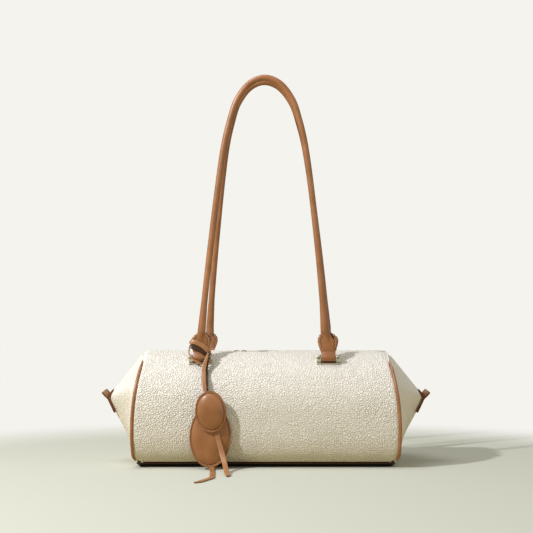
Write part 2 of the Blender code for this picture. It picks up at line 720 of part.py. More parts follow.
def make_handles():
    """Two rolled handles: a leather cover over a cord core, with flat ends that loop round the bars."""
    for face, lean_side in (("front", -1), ("back", 1)):
        y, z = bar_place(face)
        pivot = bpy.data.objects.new(f"handle_pivot_{face}", None)
        pivot.location = (0, y, z)
        pivot.rotation_euler = (lean_side * HANDLE_LEAN, 0, 0)
        bag.objects.link(pivot)
        arch = arch_line(face)
        starts = {"right": arch[0].x, "left": arch[-1].x}
        path = [Vector((starts[end], 0, LEAF_TOP + GAP)) for end in ("right", "left")]
        path[1:1] = through(arch, 2)
        cover = tube(f"handle_{face}", path, HANDLE_RADIUS, 2, caps=False)
        wall = cover.modifiers.new("Wall", "SOLIDIFY")
        wall.thickness = HANDLE_WALL
        wall.offset = -1
        cover.parent = pivot
        finish(cover, TAN, 0.45)
        core = tube(f"handle_core_{face}", path, CORE_RADIUS, 1)
        core.parent = pivot
        finish(core, CLOTH, 0.9)
        for end in ("left", "right"):
            x = foot_x(face, end)
            name = f"handle_end_{face}_{end}"
            leaf = outline_plate(name, [(x + a, b) for a, b in leaf_outline(starts[end] - x)], STRAP_THICKNESS)
            hole = BAR_RADIUS + GAP
            loop = cylinder_x(f"{name}_loop", hole + STRAP_LOOP_WALL, STRAP_WIDTH, (x, 0, 0), 16, cutters)
            bore = cylinder_x(f"{name}_bore", hole, 2 * STRAP_WIDTH, (x, 0, 0), 16, cutters)
            for piece, operation in ((loop, "UNION"), (bore, "DIFFERENCE")):
                piece.parent = pivot
                boolean(leaf, piece, operation)
            leaf.parent = pivot
            finish(leaf, TAN, 0.45)
        if face == "front":
            make_lace_wrap(pivot)


def rounded_loop(half_x, half_y, count=20, power=2 / 3):
    """A closed loop between an ellipse and a box, in the XY plane."""
    found = []
    for k in range(count):
        a = 2 * math.pi * k / count
        x = half_x * math.copysign(abs(math.cos(a)) ** power, math.cos(a))
        y = half_y * math.copysign(abs(math.sin(a)) ** power, math.sin(a))
        found.append(Vector((x, y, 0)))
    return found


def make_lace_wrap(pivot):
    """The lace where it crosses the flat handle end, round it once on the slant."""
    x = foot_x("front", "left")
    turn = Matrix.Translation((x, 0, WRAP_CENTRE)) @ Matrix.Rotation(WRAP_TILT, 4, "Y")
    points = [turn @ p for p in rounded_loop(WRAP_HALF_LENGTH, WRAP_HALF_DEPTH)]
    wrap = tube("lace_wrap", points, LACE_RADIUS * 1.15, 1, closed=True)
    wrap.parent = pivot
    finish(wrap, TAN, 0.45)


def make_lace_ring():
    """The lace where it goes round the foot of the front left bracket."""
    lift = Matrix.Translation((0, 0, GAP + LACE_RADIUS))
    frame = Matrix.Translation((foot_x("front", "left"), 0, 0)) @ surface_frame(-1) @ lift
    half_x = BRACKET_WIDTH / 2 + LACE_RADIUS + RING_SLACK_ALONG
    half_y = BRACKET_DEPTH / 2 + LACE_RADIUS + RING_SLACK_ACROSS
    points = [frame @ p for p in rounded_loop(half_x, half_y)]
    finish(tube("lace_ring", points, LACE_RADIUS, 1, closed=True), TAN, 0.45)


def flat_strap(name, route, width, thickness, steps, width_axis=(1, 0, 0)):
    """A flat lace along a smooth route in front of the bag, its width along one axis as far as the route allows."""
    path = through([(x, -HALF_DEPTH - stand_off, z) for x, stand_off, z in route], steps)
    rings = []
    for k, p in enumerate(path):
        ahead = (path[min(k + 1, len(path) - 1)] - path[max(k - 1, 0)]).normalized()
        side = (Vector(width_axis) - ahead * ahead.dot(Vector(width_axis))).normalized()
        up = side.cross(ahead).normalized()
        corners = ((-1, -1), (1, -1), (1, 1), (-1, 1))
        rings.append([p + side * a * width / 2 + up * b * thickness / 2 for a, b in corners])
    return strip(name, [list(line) for line in zip(*rings)], TAN, 0.45)


def oval(name, half, centre, tilt, y_front, thickness):
    """A padded oval: two stitched faces, domed at front and back, hanging with its face forward."""
    bm = bmesh.new()
    bmesh.ops.create_uvsphere(bm, u_segments=28, v_segments=8, radius=1.0)
    for v in bm.verts:
        reach = math.hypot(v.co.x, v.co.y)
        dome = OVAL_RIM_SHARE + (1 - OVAL_RIM_SHARE) * (1 - reach**OVAL_DOME_POWER)
        v.co.z = math.copysign(dome if abs(v.co.z) > 1e-6 else 0.0, v.co.z) if reach < 0.97 else v.co.z
    place = (
        Matrix.Translation((centre[0], y_front + thickness / 2, centre[1]))
        @ Matrix.Rotation(tilt, 4, "Y")
        @ Matrix.Rotation(math.pi / 2, 4, "X")
        @ Matrix.Diagonal((half[0], half[1], thickness / 2, 1))
    )
    bmesh.ops.transform(bm, matrix=place, verts=bm.verts[:])
    bmesh.ops.recalc_face_normals(bm, faces=bm.faces[:])
    return finish(mesh_object(name, bm), TAN, 0.45)


def make_charm():
    """A small oval in front of a large one on a doubled lace, with the lace's two tails below."""
    large_back = -(HALF_DEPTH + 2 * GAP)
    large_front = large_back - LARGE_OVAL_THICKNESS
    small_front = large_front - GAP - SMALL_OVAL_THICKNESS
    large = (LARGE_OVAL, LARGE_OVAL_CENTRE, LARGE_OVAL_TILT, large_front, LARGE_OVAL_THICKNESS)
    small = (SMALL_OVAL, SMALL_OVAL_CENTRE, SMALL_OVAL_TILT, small_front, SMALL_OVAL_THICKNESS)
    oval("charm_large_oval", *large)
    oval("charm_small_oval", *small)
    flat_strap("lace_hanger", HANGER_PATH, HANGER_WIDTH, HANGER_THICKNESS, 4)
    flat_strap("charm_tail_front", FRONT_TAIL_PATH, TAIL_WIDTH, TAIL_THICKNESS, 4)
    flat_strap("charm_tail_floor", FLOOR_TAIL_PATH, TAIL_WIDTH, TAIL_THICKNESS, 3)


def make_lining():
    """The sewn lining: one pocket of cloth that follows the barrel and goes a little way into each end."""
    outer = LEATHER + 1.6 * GAP
    floor = BASE_THICKNESS + BASE_RISE + 2 * GAP
    mouth_angle = angle_at_depth(LINING_MOUTH / 2, outer)
    top_drop = TAPE_FALL + TAPE_THICKNESS + 2 * GAP
    side_angle = angle_at_height(floor + LINING_SIDE_FOOT, outer)
    half = []
    for angle in section_angles(12, mouth_angle, side_angle):
        y, z = section(angle, outer)
        half.append((y, min(z, MOUTH_Z - TAPE_DROP - top_drop)))
    last_y = half[-1][0]
    half.append((last_y * LINING_CORNER, floor + LINING_THICKNESS))
    half += [(last_y * share, floor) for share in LINING_FLOOR]
    profile = half + [(-y, z) for y, z in reversed(half)]
    closing = [(LINING_HALF_X + past, scale) for past, scale in LINING_END]
    stations = [(-x, scale) for x, scale in reversed(closing)]
    stations += [(share * LINING_HALF_X, 1.0) for share in (-1, -0.5, 0, 0.5, 1)]
    stations += closing
    rows = []
    for x, scale in stations:
        rows.append([(x, y * scale, WIDEST_Z + (z - WIDEST_Z) * scale) for y, z in profile])
    bm = bmesh.new()
    grid = [[bm.verts.new(p) for p in row] for row in rows]
    for near, far in zip(grid, grid[1:]):
        for k in range(len(profile) - 1):
            bm.faces.new((near[k], near[k + 1], far[k + 1], far[k]))
    bm.faces.new(grid[0])
    bm.faces.new(reversed(grid[-1]))
    bmesh.ops.triangulate(bm, faces=[f for f in bm.faces if len(f.verts) > 4])
    bmesh.ops.recalc_face_normals(bm, faces=bm.faces[:])
    down = [f for f in bm.faces if abs(f.calc_center_median().z - floor) < 0.0002]
    if down and down[0].normal.z > 0:
        bmesh.ops.reverse_faces(bm, faces=bm.faces[:])
    lining = mesh_object("lining", bm)
    wall = lining.modifiers.new("Wall", "SOLIDIFY")
    wall.thickness = LINING_THICKNESS
    wall.offset = -1
    finish(lining, CLOTH, 0.85)


def build():
    global bag, cutters
    clear_scene()
    bag = new_collection("baguette_bag")
    cutters = new_collection("cutters")
    make_panels()
    make_base()
    make_base_board()
    make_gussets()
    make_piping()
    make_end_tabs()
    make_lining()
    make_zip()
    make_sliders()
    make_hardware()
    make_handles()
    make_lace_ring()
    make_charm()


build()
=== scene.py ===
import bmesh
import bpy
from math import acos, asin, atan2, copysign, cos, hypot, pi, radians, sin, tan
from mathutils import Matrix, Vector, noise


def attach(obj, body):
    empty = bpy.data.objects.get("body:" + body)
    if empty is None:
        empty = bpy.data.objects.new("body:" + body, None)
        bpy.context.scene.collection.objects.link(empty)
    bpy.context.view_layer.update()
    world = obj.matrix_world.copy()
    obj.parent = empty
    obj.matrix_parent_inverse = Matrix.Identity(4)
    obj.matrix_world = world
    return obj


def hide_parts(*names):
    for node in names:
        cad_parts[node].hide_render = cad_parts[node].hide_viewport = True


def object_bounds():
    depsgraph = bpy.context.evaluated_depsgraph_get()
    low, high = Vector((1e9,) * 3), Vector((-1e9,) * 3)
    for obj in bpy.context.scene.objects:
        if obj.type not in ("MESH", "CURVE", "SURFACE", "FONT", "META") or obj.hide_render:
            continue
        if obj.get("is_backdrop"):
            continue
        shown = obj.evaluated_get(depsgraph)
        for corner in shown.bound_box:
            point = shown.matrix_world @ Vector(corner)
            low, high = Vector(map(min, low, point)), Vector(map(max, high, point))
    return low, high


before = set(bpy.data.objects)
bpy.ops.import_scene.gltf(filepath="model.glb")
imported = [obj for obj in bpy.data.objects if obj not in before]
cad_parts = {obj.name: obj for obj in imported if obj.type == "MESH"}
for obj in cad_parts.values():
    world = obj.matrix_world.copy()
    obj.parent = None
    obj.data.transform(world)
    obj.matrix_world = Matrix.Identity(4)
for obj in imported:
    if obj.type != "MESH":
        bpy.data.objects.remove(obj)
cad_low, cad_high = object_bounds()

# The view: a level camera 1.5 m in front of the bag, a little above half its height.
# Its lens takes in the bag with both handles up.
CAMERA_DISTANCE = 1.5
CAMERA_HEIGHT = 0.195
CAMERA_SIDE = 0.0005
LENS = 101.3

camera_data = bpy.data.cameras.new("camera")
camera_data.lens = LENS
camera = bpy.data.objects.new("camera", camera_data)
camera.location = (CAMERA_SIDE, -CAMERA_DISTANCE, CAMERA_HEIGHT)
camera.rotation_euler = (pi / 2, 0, 0)
bpy.context.scene.collection.objects.link(camera)
bpy.context.scene.camera = camera
bpy.context.scene.view_settings.view_transform = "Standard"


# The stage: a pale floor under a pale room. A small lamp from the left casts the shadows, a broad soft one
# hangs overhead, and a weak one stands on the right. The floor throws back a duller, olive light than the
# camera sees.
FLOOR_COLOUR = "#C2C4BA"
FLOOR_BOUNCE = "#B6AB82"
ROOM_COLOUR = "#F4F3EE"
ROOM_TINT = "#EDE8D6"
ROOM_LIGHT = 0.44
KEY_DIRECTION = (-0.63, -0.47, 0.62)
LAMP_DISTANCE = 1.7
LAMP_AIM_HEIGHT = 0.1
KEY_SIZE = 0.08
KEY_POWER = 24.5
TOP_DIRECTION = (-0.28, -0.12, 0.95)
TOP_SIZE = 1.0
TOP_POWER = 10.5
BOUNCE_DIRECTION = (0.85, -0.35, 0.25)
BOUNCE_SIZE = 1.2
BOUNCE_POWER = 3.5
FLOOR_SIZE = 8.0
FLOOR_MIDDLE = (0.0, -0.15, 0.0)
FLOOR_FADE = (0.365, 0.56)


def linear(text):
    """An sRGB hex colour as the linear numbers a shader takes."""
    values = [int(text[k:k + 2], 16) / 255 for k in (1, 3, 5)]
    return (*[v / 12.92 if v <= 0.04045 else ((v + 0.055) / 1.055) ** 2.4 for v in values], 1.0)


def new_material(name, **settings):
    """A material with its shader's sockets set by name, and its node tree."""
    material = bpy.data.materials.new(name)
    material.use_nodes = True
    shader = material.node_tree.nodes["Principled BSDF"]
    for socket, value in settings.items():
        shader.inputs[socket.replace("_", " ")].default_value = value
    return material, material.node_tree, shader


def plain(name, colour, roughness, **settings):
    """A material of one colour."""
    return new_material(name, Base_Color=linear(colour), Roughness=roughness, **settings)[0]


def node(tree, kind, inputs=None, **settings):
    """Adds a node with its settings. An input takes a value, an output, or another node's first output."""
    made = tree.nodes.new("ShaderNode" + kind)
    for name, value in settings.items():
        setattr(made, name, value)
    for name, value in (inputs or {}).items():
        if isinstance(value, bpy.types.Node):
            value = value.outputs[0]
        if isinstance(value, bpy.types.NodeSocket):
            tree.links.new(value, made.inputs[name])
        else:
            made.inputs[name].default_value = value
    return made


def piece(name, bm, materials, smooth_angle=40):
    """Turns a bmesh into an object with its materials, smooth but for its sharp edges."""
    mesh = bpy.data.meshes.new(name)
    bm.to_mesh(mesh)
    bm.free()
    for material in materials:
        mesh.materials.append(material)
    mesh.shade_smooth()
    mesh.set_sharp_from_angle(angle=radians(smooth_angle))
    obj = bpy.data.objects.new(name, mesh)
    bpy.context.scene.collection.objects.link(obj)
    return obj


floor_paint, floor_tree, floor_shader = new_material(
    "floor, matt painted board", Roughness=0.9, Specular_IOR_Level=0.1
)
floor_place = node(floor_tree, "TexCoord").outputs["Object"]
from_middle = node(floor_tree, "VectorMath", {0: floor_place, 1: FLOOR_MIDDLE}, operation="DISTANCE")
far_off = node(
    floor_tree, "MapRange",
    {"Value": from_middle.outputs["Value"], "From Min": FLOOR_FADE[0], "From Max": FLOOR_FADE[1]},
    interpolation_type="SMOOTHSTEP",
)
straight = node(floor_tree, "LightPath").outputs["Is Camera Ray"]
bounced = node(
    floor_tree, "Mix", {0: straight, "A": linear(FLOOR_BOUNCE), "B": linear(FLOOR_COLOUR)}, data_type="RGBA"
)
floor_tree.links.new(bounced.outputs["Result"], floor_shader.inputs["Base Color"])
faded = node(floor_tree, "Math", {0: far_off, 1: straight}, operation="MULTIPLY")
haze = node(floor_tree, "Emission", {"Color": linear(ROOM_COLOUR), "Strength": 1.0})
blend = node(floor_tree, "MixShader", {0: faded, 1: floor_shader, 2: haze})
floor_tree.links.new(blend.outputs[0], floor_tree.nodes["Material Output"].inputs["Surface"])
floor_mesh = bmesh.new()
bmesh.ops.create_grid(floor_mesh, x_segments=1, y_segments=1, size=FLOOR_SIZE / 2)
floor = piece("floor", floor_mesh, [floor_paint])
floor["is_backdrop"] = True

room = bpy.data.worlds.new("room")
room.use_nodes = True
room_tree = room.node_tree
room_shader = room_tree.nodes["Background"]
room_shader.inputs["Color"].default_value = linear(ROOM_TINT)
room_shader.inputs["Strength"].default_value = ROOM_LIGHT
seen = node(room_tree, "Background", {"Color": linear(ROOM_COLOUR), "Strength": 1.0})
ray = node(room_tree, "LightPath")
either = node(room_tree, "MixShader", {0: ray.outputs["Is Camera Ray"], 1: room_shader, 2: seen})
room_tree.links.new(either.outputs[0], room_tree.nodes["World Output"].inputs["Surface"])
bpy.context.scene.world = room

for lamp_name, direction, size, power in (
    ("key_lamp", KEY_DIRECTION, KEY_SIZE, KEY_POWER),
    ("top_lamp", TOP_DIRECTION, TOP_SIZE, TOP_POWER),
    ("bounce_lamp", BOUNCE_DIRECTION, BOUNCE_SIZE, BOUNCE_POWER),
):
    lamp_data = bpy.data.lights.new(lamp_name, "AREA")
    lamp_data.shape = "DISK"
    lamp_data.size = size
    lamp_data.energy = power
    lamp = bpy.data.objects.new(lamp_name, lamp_data)
    toward = Vector(direction).normalized()
    lamp.location = toward * LAMP_DISTANCE + Vector((0, 0, LAMP_AIM_HEIGHT))
    lamp.rotation_euler = toward.to_track_quat("Z", "Y").to_euler()
    bpy.context.scene.collection.objects.link(lamp)


# Front and back panels: one hide each of pebbled leather, turned under along the zip and into the end seams.
# The barrel is a rounded section that crests beside the zip, and the zip lies in a shallow valley.
HALF_DEPTH = 0.058
HALF_HEIGHT = 0.0584
WIDEST_Z = 0.054
TOP_ROUNDNESS = 2.1
LOWER_ROUNDNESS = 3.2
CREST_HALF = 0.018
VALLEY_DEPTH = 0.0083
ZIP_MOUTH = 0.008
PANEL_BOTTOM = 0.0054
LEATHER = 0.0016
GAP = 0.0003
SEAM_X = 0.1295
SEAM_WIDEST_Z = 0.034
SEAM_SHORTEST_X = 0.1202
SEAM_CURVE_UP = 1.87
SEAM_CURVE_DOWN = 1.6
SEAM_CURL = 0.0032
SEAM_CURL_RUN = 0.007
PIPING_RADIUS = 0.0015
PANEL_COLUMNS = 110
PANEL_ROWS = 84
SEAM_ROLL_RUN = 0.0032
SEAM_ROLL_DEPTH = 0.0011
DENT_DEPTH = 0.0005
DENT_SIZE = 0.034
STITCH_PITCH = 0.0031
CORNER_DROP = 0.0011
CORNER_DROP_RUN = 0.009
CORNER_TOP = 0.108
PIPING_START_Z = 0.1045
PIPING_FULL_Z = 0.0990
PANEL_EDGE_SHARE = 0.75
FOOT_CORNER_RISE = 0.0010
FOOT_CORNER_RUN = 0.0045
FOOT_CORNER_HEIGHT = 0.010
IVORY = "#F0EDE8"
IVORY_DEEP = "#D6D1CA"
GUSSET_IVORY = "#F1EDE8"
GUSSET_IVORY_DEEP = "#DFDAD3"
IVORY_THREAD = "#E9E2D0"
PEBBLE_SIZE = 0.0022
PEBBLE_RELIEF = 0.0006
SEAM_SMOOTH = (0.0010, 0.0034)
SEAM_STEPS = (0, 0.0006, 0.0013, 0.0022, 0.0034)
SEAM_STEPS_END = 0.0050
DENT_MARGIN = 0.02
HEM_INSET = 0.0026
HEM_END = 0.006
HEM_STITCH = (STITCH_PITCH * 0.78, 0.00024)
EDGE_ROUND = 0.0005


def clamped(share):
    """A share kept between 0 and 1."""
    return min(1.0, max(0.0, share))


def covered(tree, shader, share, deep, colour, height, relief, strength):
    """Paints a surface between two colours by a share, and raises it by a height."""
    paint = node(tree, "Mix", {0: share, "A": linear(deep), "B": linear(colour)}, data_type="RGBA")
    bump = node(tree, "Bump", {"Height": height, "Distance": relief, "Strength": strength})
    tree.links.new(paint.outputs["Result"], shader.inputs["Base Color"])
    tree.links.new(bump.outputs[0], shader.inputs["Normal"])


def leather_grain(name, colour, deep, relief, roughness):
    """Drum-tumbled leather: rounded pebbles with narrow valleys that hold a little more tan."""
    material, tree, shader = new_material(name, Roughness=roughness, Specular_IOR_Level=0.5)
    place = node(tree, "TexCoord").outputs["Object"]
    drift = node(tree, "TexNoise", {"Vector": place, "Scale": 210.0, "Detail": 2.0}, noise_dimensions="3D")
    centred = node(tree, "VectorMath", {0: drift.outputs["Color"], 1: (0.5, 0.5, 0.5)}, operation="SUBTRACT")
    small = node(tree, "VectorMath", {0: centred, "Scale": PEBBLE_SIZE * 0.55}, operation="SCALE")
    warped = node(tree, "VectorMath", {0: place, 1: small}, operation="ADD")
    cells = node(
        tree, "TexVoronoi", {"Vector": warped, "Scale": 1 / PEBBLE_SIZE, "Randomness": 0.9},
        feature="DISTANCE_TO_EDGE",
    )
    pebble = node(tree, "MapRange", {"Value": cells, "From Max": 0.32}, interpolation_type="SMOOTHSTEP")
    pores = node(tree, "TexNoise", {"Vector": place, "Scale": 2600.0, "Detail": 3.0})
    fine = node(tree, "Math", {0: pores, 1: 0.12}, operation="MULTIPLY")
    grained = node(tree, "Attribute", attribute_name="grain").outputs["Fac"]
    rough = node(tree, "Math", {0: pebble, 1: fine}, operation="ADD")
    height = node(tree, "Math", {0: rough, 1: grained}, operation="MULTIPLY")
    patches = node(tree, "TexNoise", {"Vector": place, "Scale": 28.0, "Detail": 3.0})
    shade = node(tree, "MapRange", {"Value": patches, "To Min": 0.75, "To Max": 1.0})
    even = node(tree, "Mix", {0: grained, "A": (1, 1, 1, 1), "B": pebble}, data_type="RGBA")
    mixed = node(tree, "Math", {0: even.outputs["Result"], 1: shade}, operation="MULTIPLY")
    held = node(tree, "MapRange", {"Value": mixed, "To Min": 0.30, "To Max": 1.0})
    covered(tree, shader, held, deep, colour, height, relief, 1.0)
    return material


def barrel(angle, inset=0.0):
    """A point (y, z) of the barrel's front half: 90 degrees is the crest, 0 the widest line."""
    power = 2 / (TOP_ROUNDNESS if angle >= 0 else LOWER_ROUNDNESS)
    y = -(HALF_DEPTH - inset) * abs(cos(angle)) ** power
    z = (HALF_HEIGHT - inset) * abs(sin(angle)) ** power
    valley = VALLEY_DEPTH * max(0.0, 1 + y / CREST_HALF) ** 2 if angle > 0 else 0.0
    return y, WIDEST_Z + copysign(z, angle) - valley


def angle_at_height(z):
    """Where on the barrel a height lies."""
    power = (TOP_ROUNDNESS if z >= WIDEST_Z else LOWER_ROUNDNESS) / 2
    return copysign(asin(min(1.0, abs(z - WIDEST_Z) / HALF_HEIGHT) ** power), z - WIDEST_Z)


def angle_at_depth(y):
    """Where on the barrel's upper half a depth lies."""
    return acos(min(1.0, abs(y) / HALF_DEPTH) ** (TOP_ROUNDNESS / 2))


def barrel_out(angle):
    """The direction (y, z) straight out of the leather on the front half."""
    y0, z0 = barrel(angle + 0.004)
    y1, z1 = barrel(angle - 0.004)
    run = Vector((y1 - y0, z1 - z0)).normalized()
    out = Vector((run.y, -run.x))
    return -out if out.x * cos(angle) > 0 or (cos(angle) < 0.2 and out.y < 0) else out


def seam_x(z):
    """How far out the end seam runs at a height."""
    curve = SEAM_CURVE_UP if z > SEAM_WIDEST_Z else SEAM_CURVE_DOWN
    curl = SEAM_CURL * max(0.0, 1 - (z - PANEL_BOTTOM) / SEAM_CURL_RUN) ** 2
    return max(SEAM_SHORTEST_X, SEAM_X - curve * (z - SEAM_WIDEST_Z) ** 2 - curl)


TOP_ANGLE = angle_at_depth(ZIP_MOUTH / 2)
BOTTOM_ANGLE = angle_at_height(PANEL_BOTTOM)
MOUTH_Z = barrel(TOP_ANGLE)[1]
BASE_EDGE_Y = -barrel(BOTTOM_ANGLE)[0]


def beside_piping(z):
    """0 at the crest, where panel and gusset meet edge to edge, and 1 where the piping parts them."""
    return clamped((PIPING_START_Z - z) / (PIPING_START_Z - PIPING_FULL_Z))


def corner_drop(z, from_seam):
    """How far the crest sinks close to the end seam."""
    height = clamped((z - PIPING_FULL_Z) / (CORNER_TOP - PIPING_FULL_Z))
    return CORNER_DROP * height * max(0.0, 1 - from_seam / CORNER_DROP_RUN) ** 2


def corner_rise(z, from_seam):
    """How far the panel's lower edge rises close to the end seam."""
    height = max(0.0, 1 - (z - PANEL_BOTTOM) / FOOT_CORNER_HEIGHT)
    return FOOT_CORNER_RISE * height * max(0.0, 1 - from_seam / FOOT_CORNER_RUN) ** 2


def joined_rows(bm, rows, closed=False):
    """Faces between rows of points; closed rows come round to their first point."""
    grid = [[bm.verts.new(p) for p in row] for row in rows]
    for upper, lower in zip(grid, grid[1:]):
        count = len(upper) if closed else len(upper) - 1
        for k in range(count):
            following = (k + 1) % len(upper)
            bm.faces.new((upper[k], upper[following], lower[following], lower[k]))
    return grid


def faced(bm, axis, side):
    """Turns a sheet's faces to one side of an axis."""
    bmesh.ops.recalc_face_normals(bm, faces=bm.faces[:])
    if sum(f.normal[axis] * f.calc_area() for f in bm.faces) * side < 0:
        bmesh.ops.reverse_faces(bm, faces=bm.faces[:])


def walled(obj, thickness, edge_round=None):
    """Gives a sheet its thickness inwards, and takes the sharpness off its cut edges."""
    wall = obj.modifiers.new("Wall", "SOLIDIFY")
    wall.thickness = thickness
    wall.offset = -1
    if edge_round:
        edge = obj.modifiers.new("Edge", "BEVEL")
        edge.width = edge_round
        edge.segments = 2
        edge.limit_method = "ANGLE"
        edge.angle_limit = radians(50)
    return wall


def belongs(obj, body, node_name=None):
    """Has a piece move with its body, and stand for its node of the frame."""
    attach(obj, body)
    if node_name:
        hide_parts(node_name)


def turned_to(x_axis, y_axis, z_axis):
    """The matrix that turns a piece's own axes to the given ones."""
    return Matrix((x_axis, y_axis, z_axis)).transposed().to_4x4()


def stitch_row(name, stitches, thread, length, radius, body, slot):
    """A row of stitches, each a short tight loop of thread: (place, along, out) for each."""
    bm = bmesh.new()
    for place, along, out in stitches:
        along = Vector(along).normalized()
        out = Vector(out).normalized()
        turned = turned_to(along, out.cross(along).normalized(), out)
        matrix = Matrix.Translation(place) @ turned @ Matrix.Diagonal((length / 2, radius, radius, 1))
        bmesh.ops.create_icosphere(bm, subdivisions=1, radius=1.0, matrix=matrix)
    belongs(piece(name, bm, [thread], 180), body)


pebbled = leather_grain(
    "ivory calf leather, drum-tumbled pebble grain", IVORY, IVORY_DEEP, PEBBLE_RELIEF, 0.48
)
ivory_thread = plain("waxed polyester thread, ivory", IVORY_THREAD, 0.6)

for panel_name, side in (("front_panel", -1), ("back_panel", 1)):
    rows = []
    for k in range(PANEL_ROWS + 1):
        angle = TOP_ANGLE + (BOTTOM_ANGLE - TOP_ANGLE) * k / PANEL_ROWS
        y, z = barrel(angle)
        out = barrel_out(angle)
        half = seam_x(z) - PIPING_RADIUS * PANEL_EDGE_SHARE * beside_piping(z)
        near = [half - d for d in SEAM_STEPS]
        middle = half - SEAM_STEPS_END
        xs = near + [middle * (1 - 2 * c / PANEL_COLUMNS) for c in range(PANEL_COLUMNS + 1)]
        xs += [-x for x in reversed(near)]
        row = []
        for x in xs:
            from_seam = half - abs(x)
            roll = SEAM_ROLL_DEPTH * max(0.0, 1 - from_seam / SEAM_ROLL_RUN) ** 2
            calm = min(1.0, from_seam / DENT_MARGIN) * min(1.0, k / 10) * min(1.0, (PANEL_ROWS - k) / 6)
            dent = DENT_DEPTH * noise.noise(Vector((x, y * side, z)) / DENT_SIZE) * calm
            push = dent - roll
            sunk = corner_drop(z, from_seam) - corner_rise(z, from_seam)
            row.append((x * side, -side * (y + out.x * push), z + out.y * push - sunk))
        rows.append(row)
    bm = bmesh.new()
    joined_rows(bm, rows)
    grain = bm.verts.layers.float.new("grain")
    for v in bm.verts:
        past = (seam_x(v.co.z) - abs(v.co.x) - SEAM_SMOOTH[0]) / (SEAM_SMOOTH[1] - SEAM_SMOOTH[0])
        v[grain] = clamped(past)
    faced(bm, 1, side)
    panel = piece(panel_name + "_leather", bm, [pebbled])
    walled(panel, LEATHER, EDGE_ROUND)
    belongs(panel, "bag", panel_name)

    hem_angle = angle_at_depth(ZIP_MOUTH / 2 + HEM_INSET)
    hem_y, hem_z = barrel(hem_angle)
    hem_out = barrel_out(hem_angle)
    count = int(2 * (SEAM_SHORTEST_X - HEM_END) / STITCH_PITCH)
    places = []
    for k in range(count + 1):
        x = STITCH_PITCH * (k - count / 2)
        places.append(((x, -side * hem_y, hem_z), (1, 0, 0), (0, -side * hem_out.x, hem_out.y)))
    stitch_row(panel_name + "_zip_stitches", places, ivory_thread, *HEM_STITCH, "bag", "pebbled_leather")


# End gussets: one ivory hide for each end, drawn from the piped seam out to a soft fold, open along the zip.
# The leather is stretched, so its pebbles are flatter. Its foot stands on the base.
TIP = (0.1576, 0.0650)
LOWER_SLOPE = (
    (0.1488, 0.0464), (0.1445, 0.0385), (0.1410, 0.0320),
    (0.1383, 0.0260), (0.1365, 0.0200), (0.1352, 0.0130),
)
NOSE_DEPTH = 0.0018
BASE_THICKNESS = 0.0011
BASE_FLAT_HALF = 0.028
BASE_RISE = 0.0040
BASE_END_BULGE = -0.003
BASE_CORNER_CUT = -0.0008
BASE_CORNER_POWER = 8
GUSSET_FOOT_TUCK = 0.0010
GUSSET_FOOT_TUCK_COLUMNS = 8
SEAM_CLEARANCE = PIPING_RADIUS + GAP
GUSSET_START = 0.0015
RIDGE_ROWS = 6
ROW_STEPS = 5
GUSSET_COLUMNS = 26
NOSE_COLUMNS = 4
SMOOTHING = 6
SLACK = 0.0012
GUSSET_INSET = 0.0004
GUSSET_CLEARANCE = SEAM_CLEARANCE + 0.9 * LEATHER
WELD = 0.00005
THIN_EDGE_ROUND = 0.0004


def through(points, steps):
    """A smooth curve through the given points, as a list of points along it."""
    p = [Vector(q) for q in points]
    p = [2 * p[0] - p[1], *p, 2 * p[-1] - p[-2]]
    found = []
    for a, b, c, d in zip(p, p[1:], p[2:], p[3:]):
        for k in range(steps):
            t = k / steps
            bend = (2 * a - 5 * b + 4 * c - d) * t**2
            twist = (3 * b - a - 3 * c + d) * t**3
            found.append((2 * b + (c - a) * t + bend + twist) / 2)
    found.append(p[-2])
    return found


def base_under(y):
    """The height of the base's underside: flat in the middle, curved up to its edge."""
    past = max(0.0, abs(y) - BASE_FLAT_HALF) / (BASE_EDGE_Y - BASE_FLAT_HALF)
    return BASE_RISE * past**2


def base_end(y):
    """How far out the base's end runs at a depth."""
    share = abs(y) / BASE_EDGE_Y
    return seam_x(PANEL_BOTTOM) + BASE_END_BULGE * (1 - share**2) - BASE_CORNER_CUT * share**BASE_CORNER_POWER


gusset_leather = leather_grain(
    "ivory calf leather, stretched pebble grain", GUSSET_IVORY, GUSSET_IVORY_DEEP, PEBBLE_RELIEF * 0.45, 0.5
)
crest_corner = Vector((SEAM_SHORTEST_X + GUSSET_CLEARANCE, MOUTH_Z))
tip_point = Vector(TIP)
lower_ridge = through([tip_point, *LOWER_SLOPE], ROW_STEPS)
upper_count = RIDGE_ROWS * ROW_STEPS
ridge_line = [crest_corner.lerp(tip_point, k / upper_count) for k in range(upper_count)] + lower_ridge
last_row = (RIDGE_ROWS + len(LOWER_SLOPE) + 1) * ROW_STEPS
mouth = ZIP_MOUTH / 2

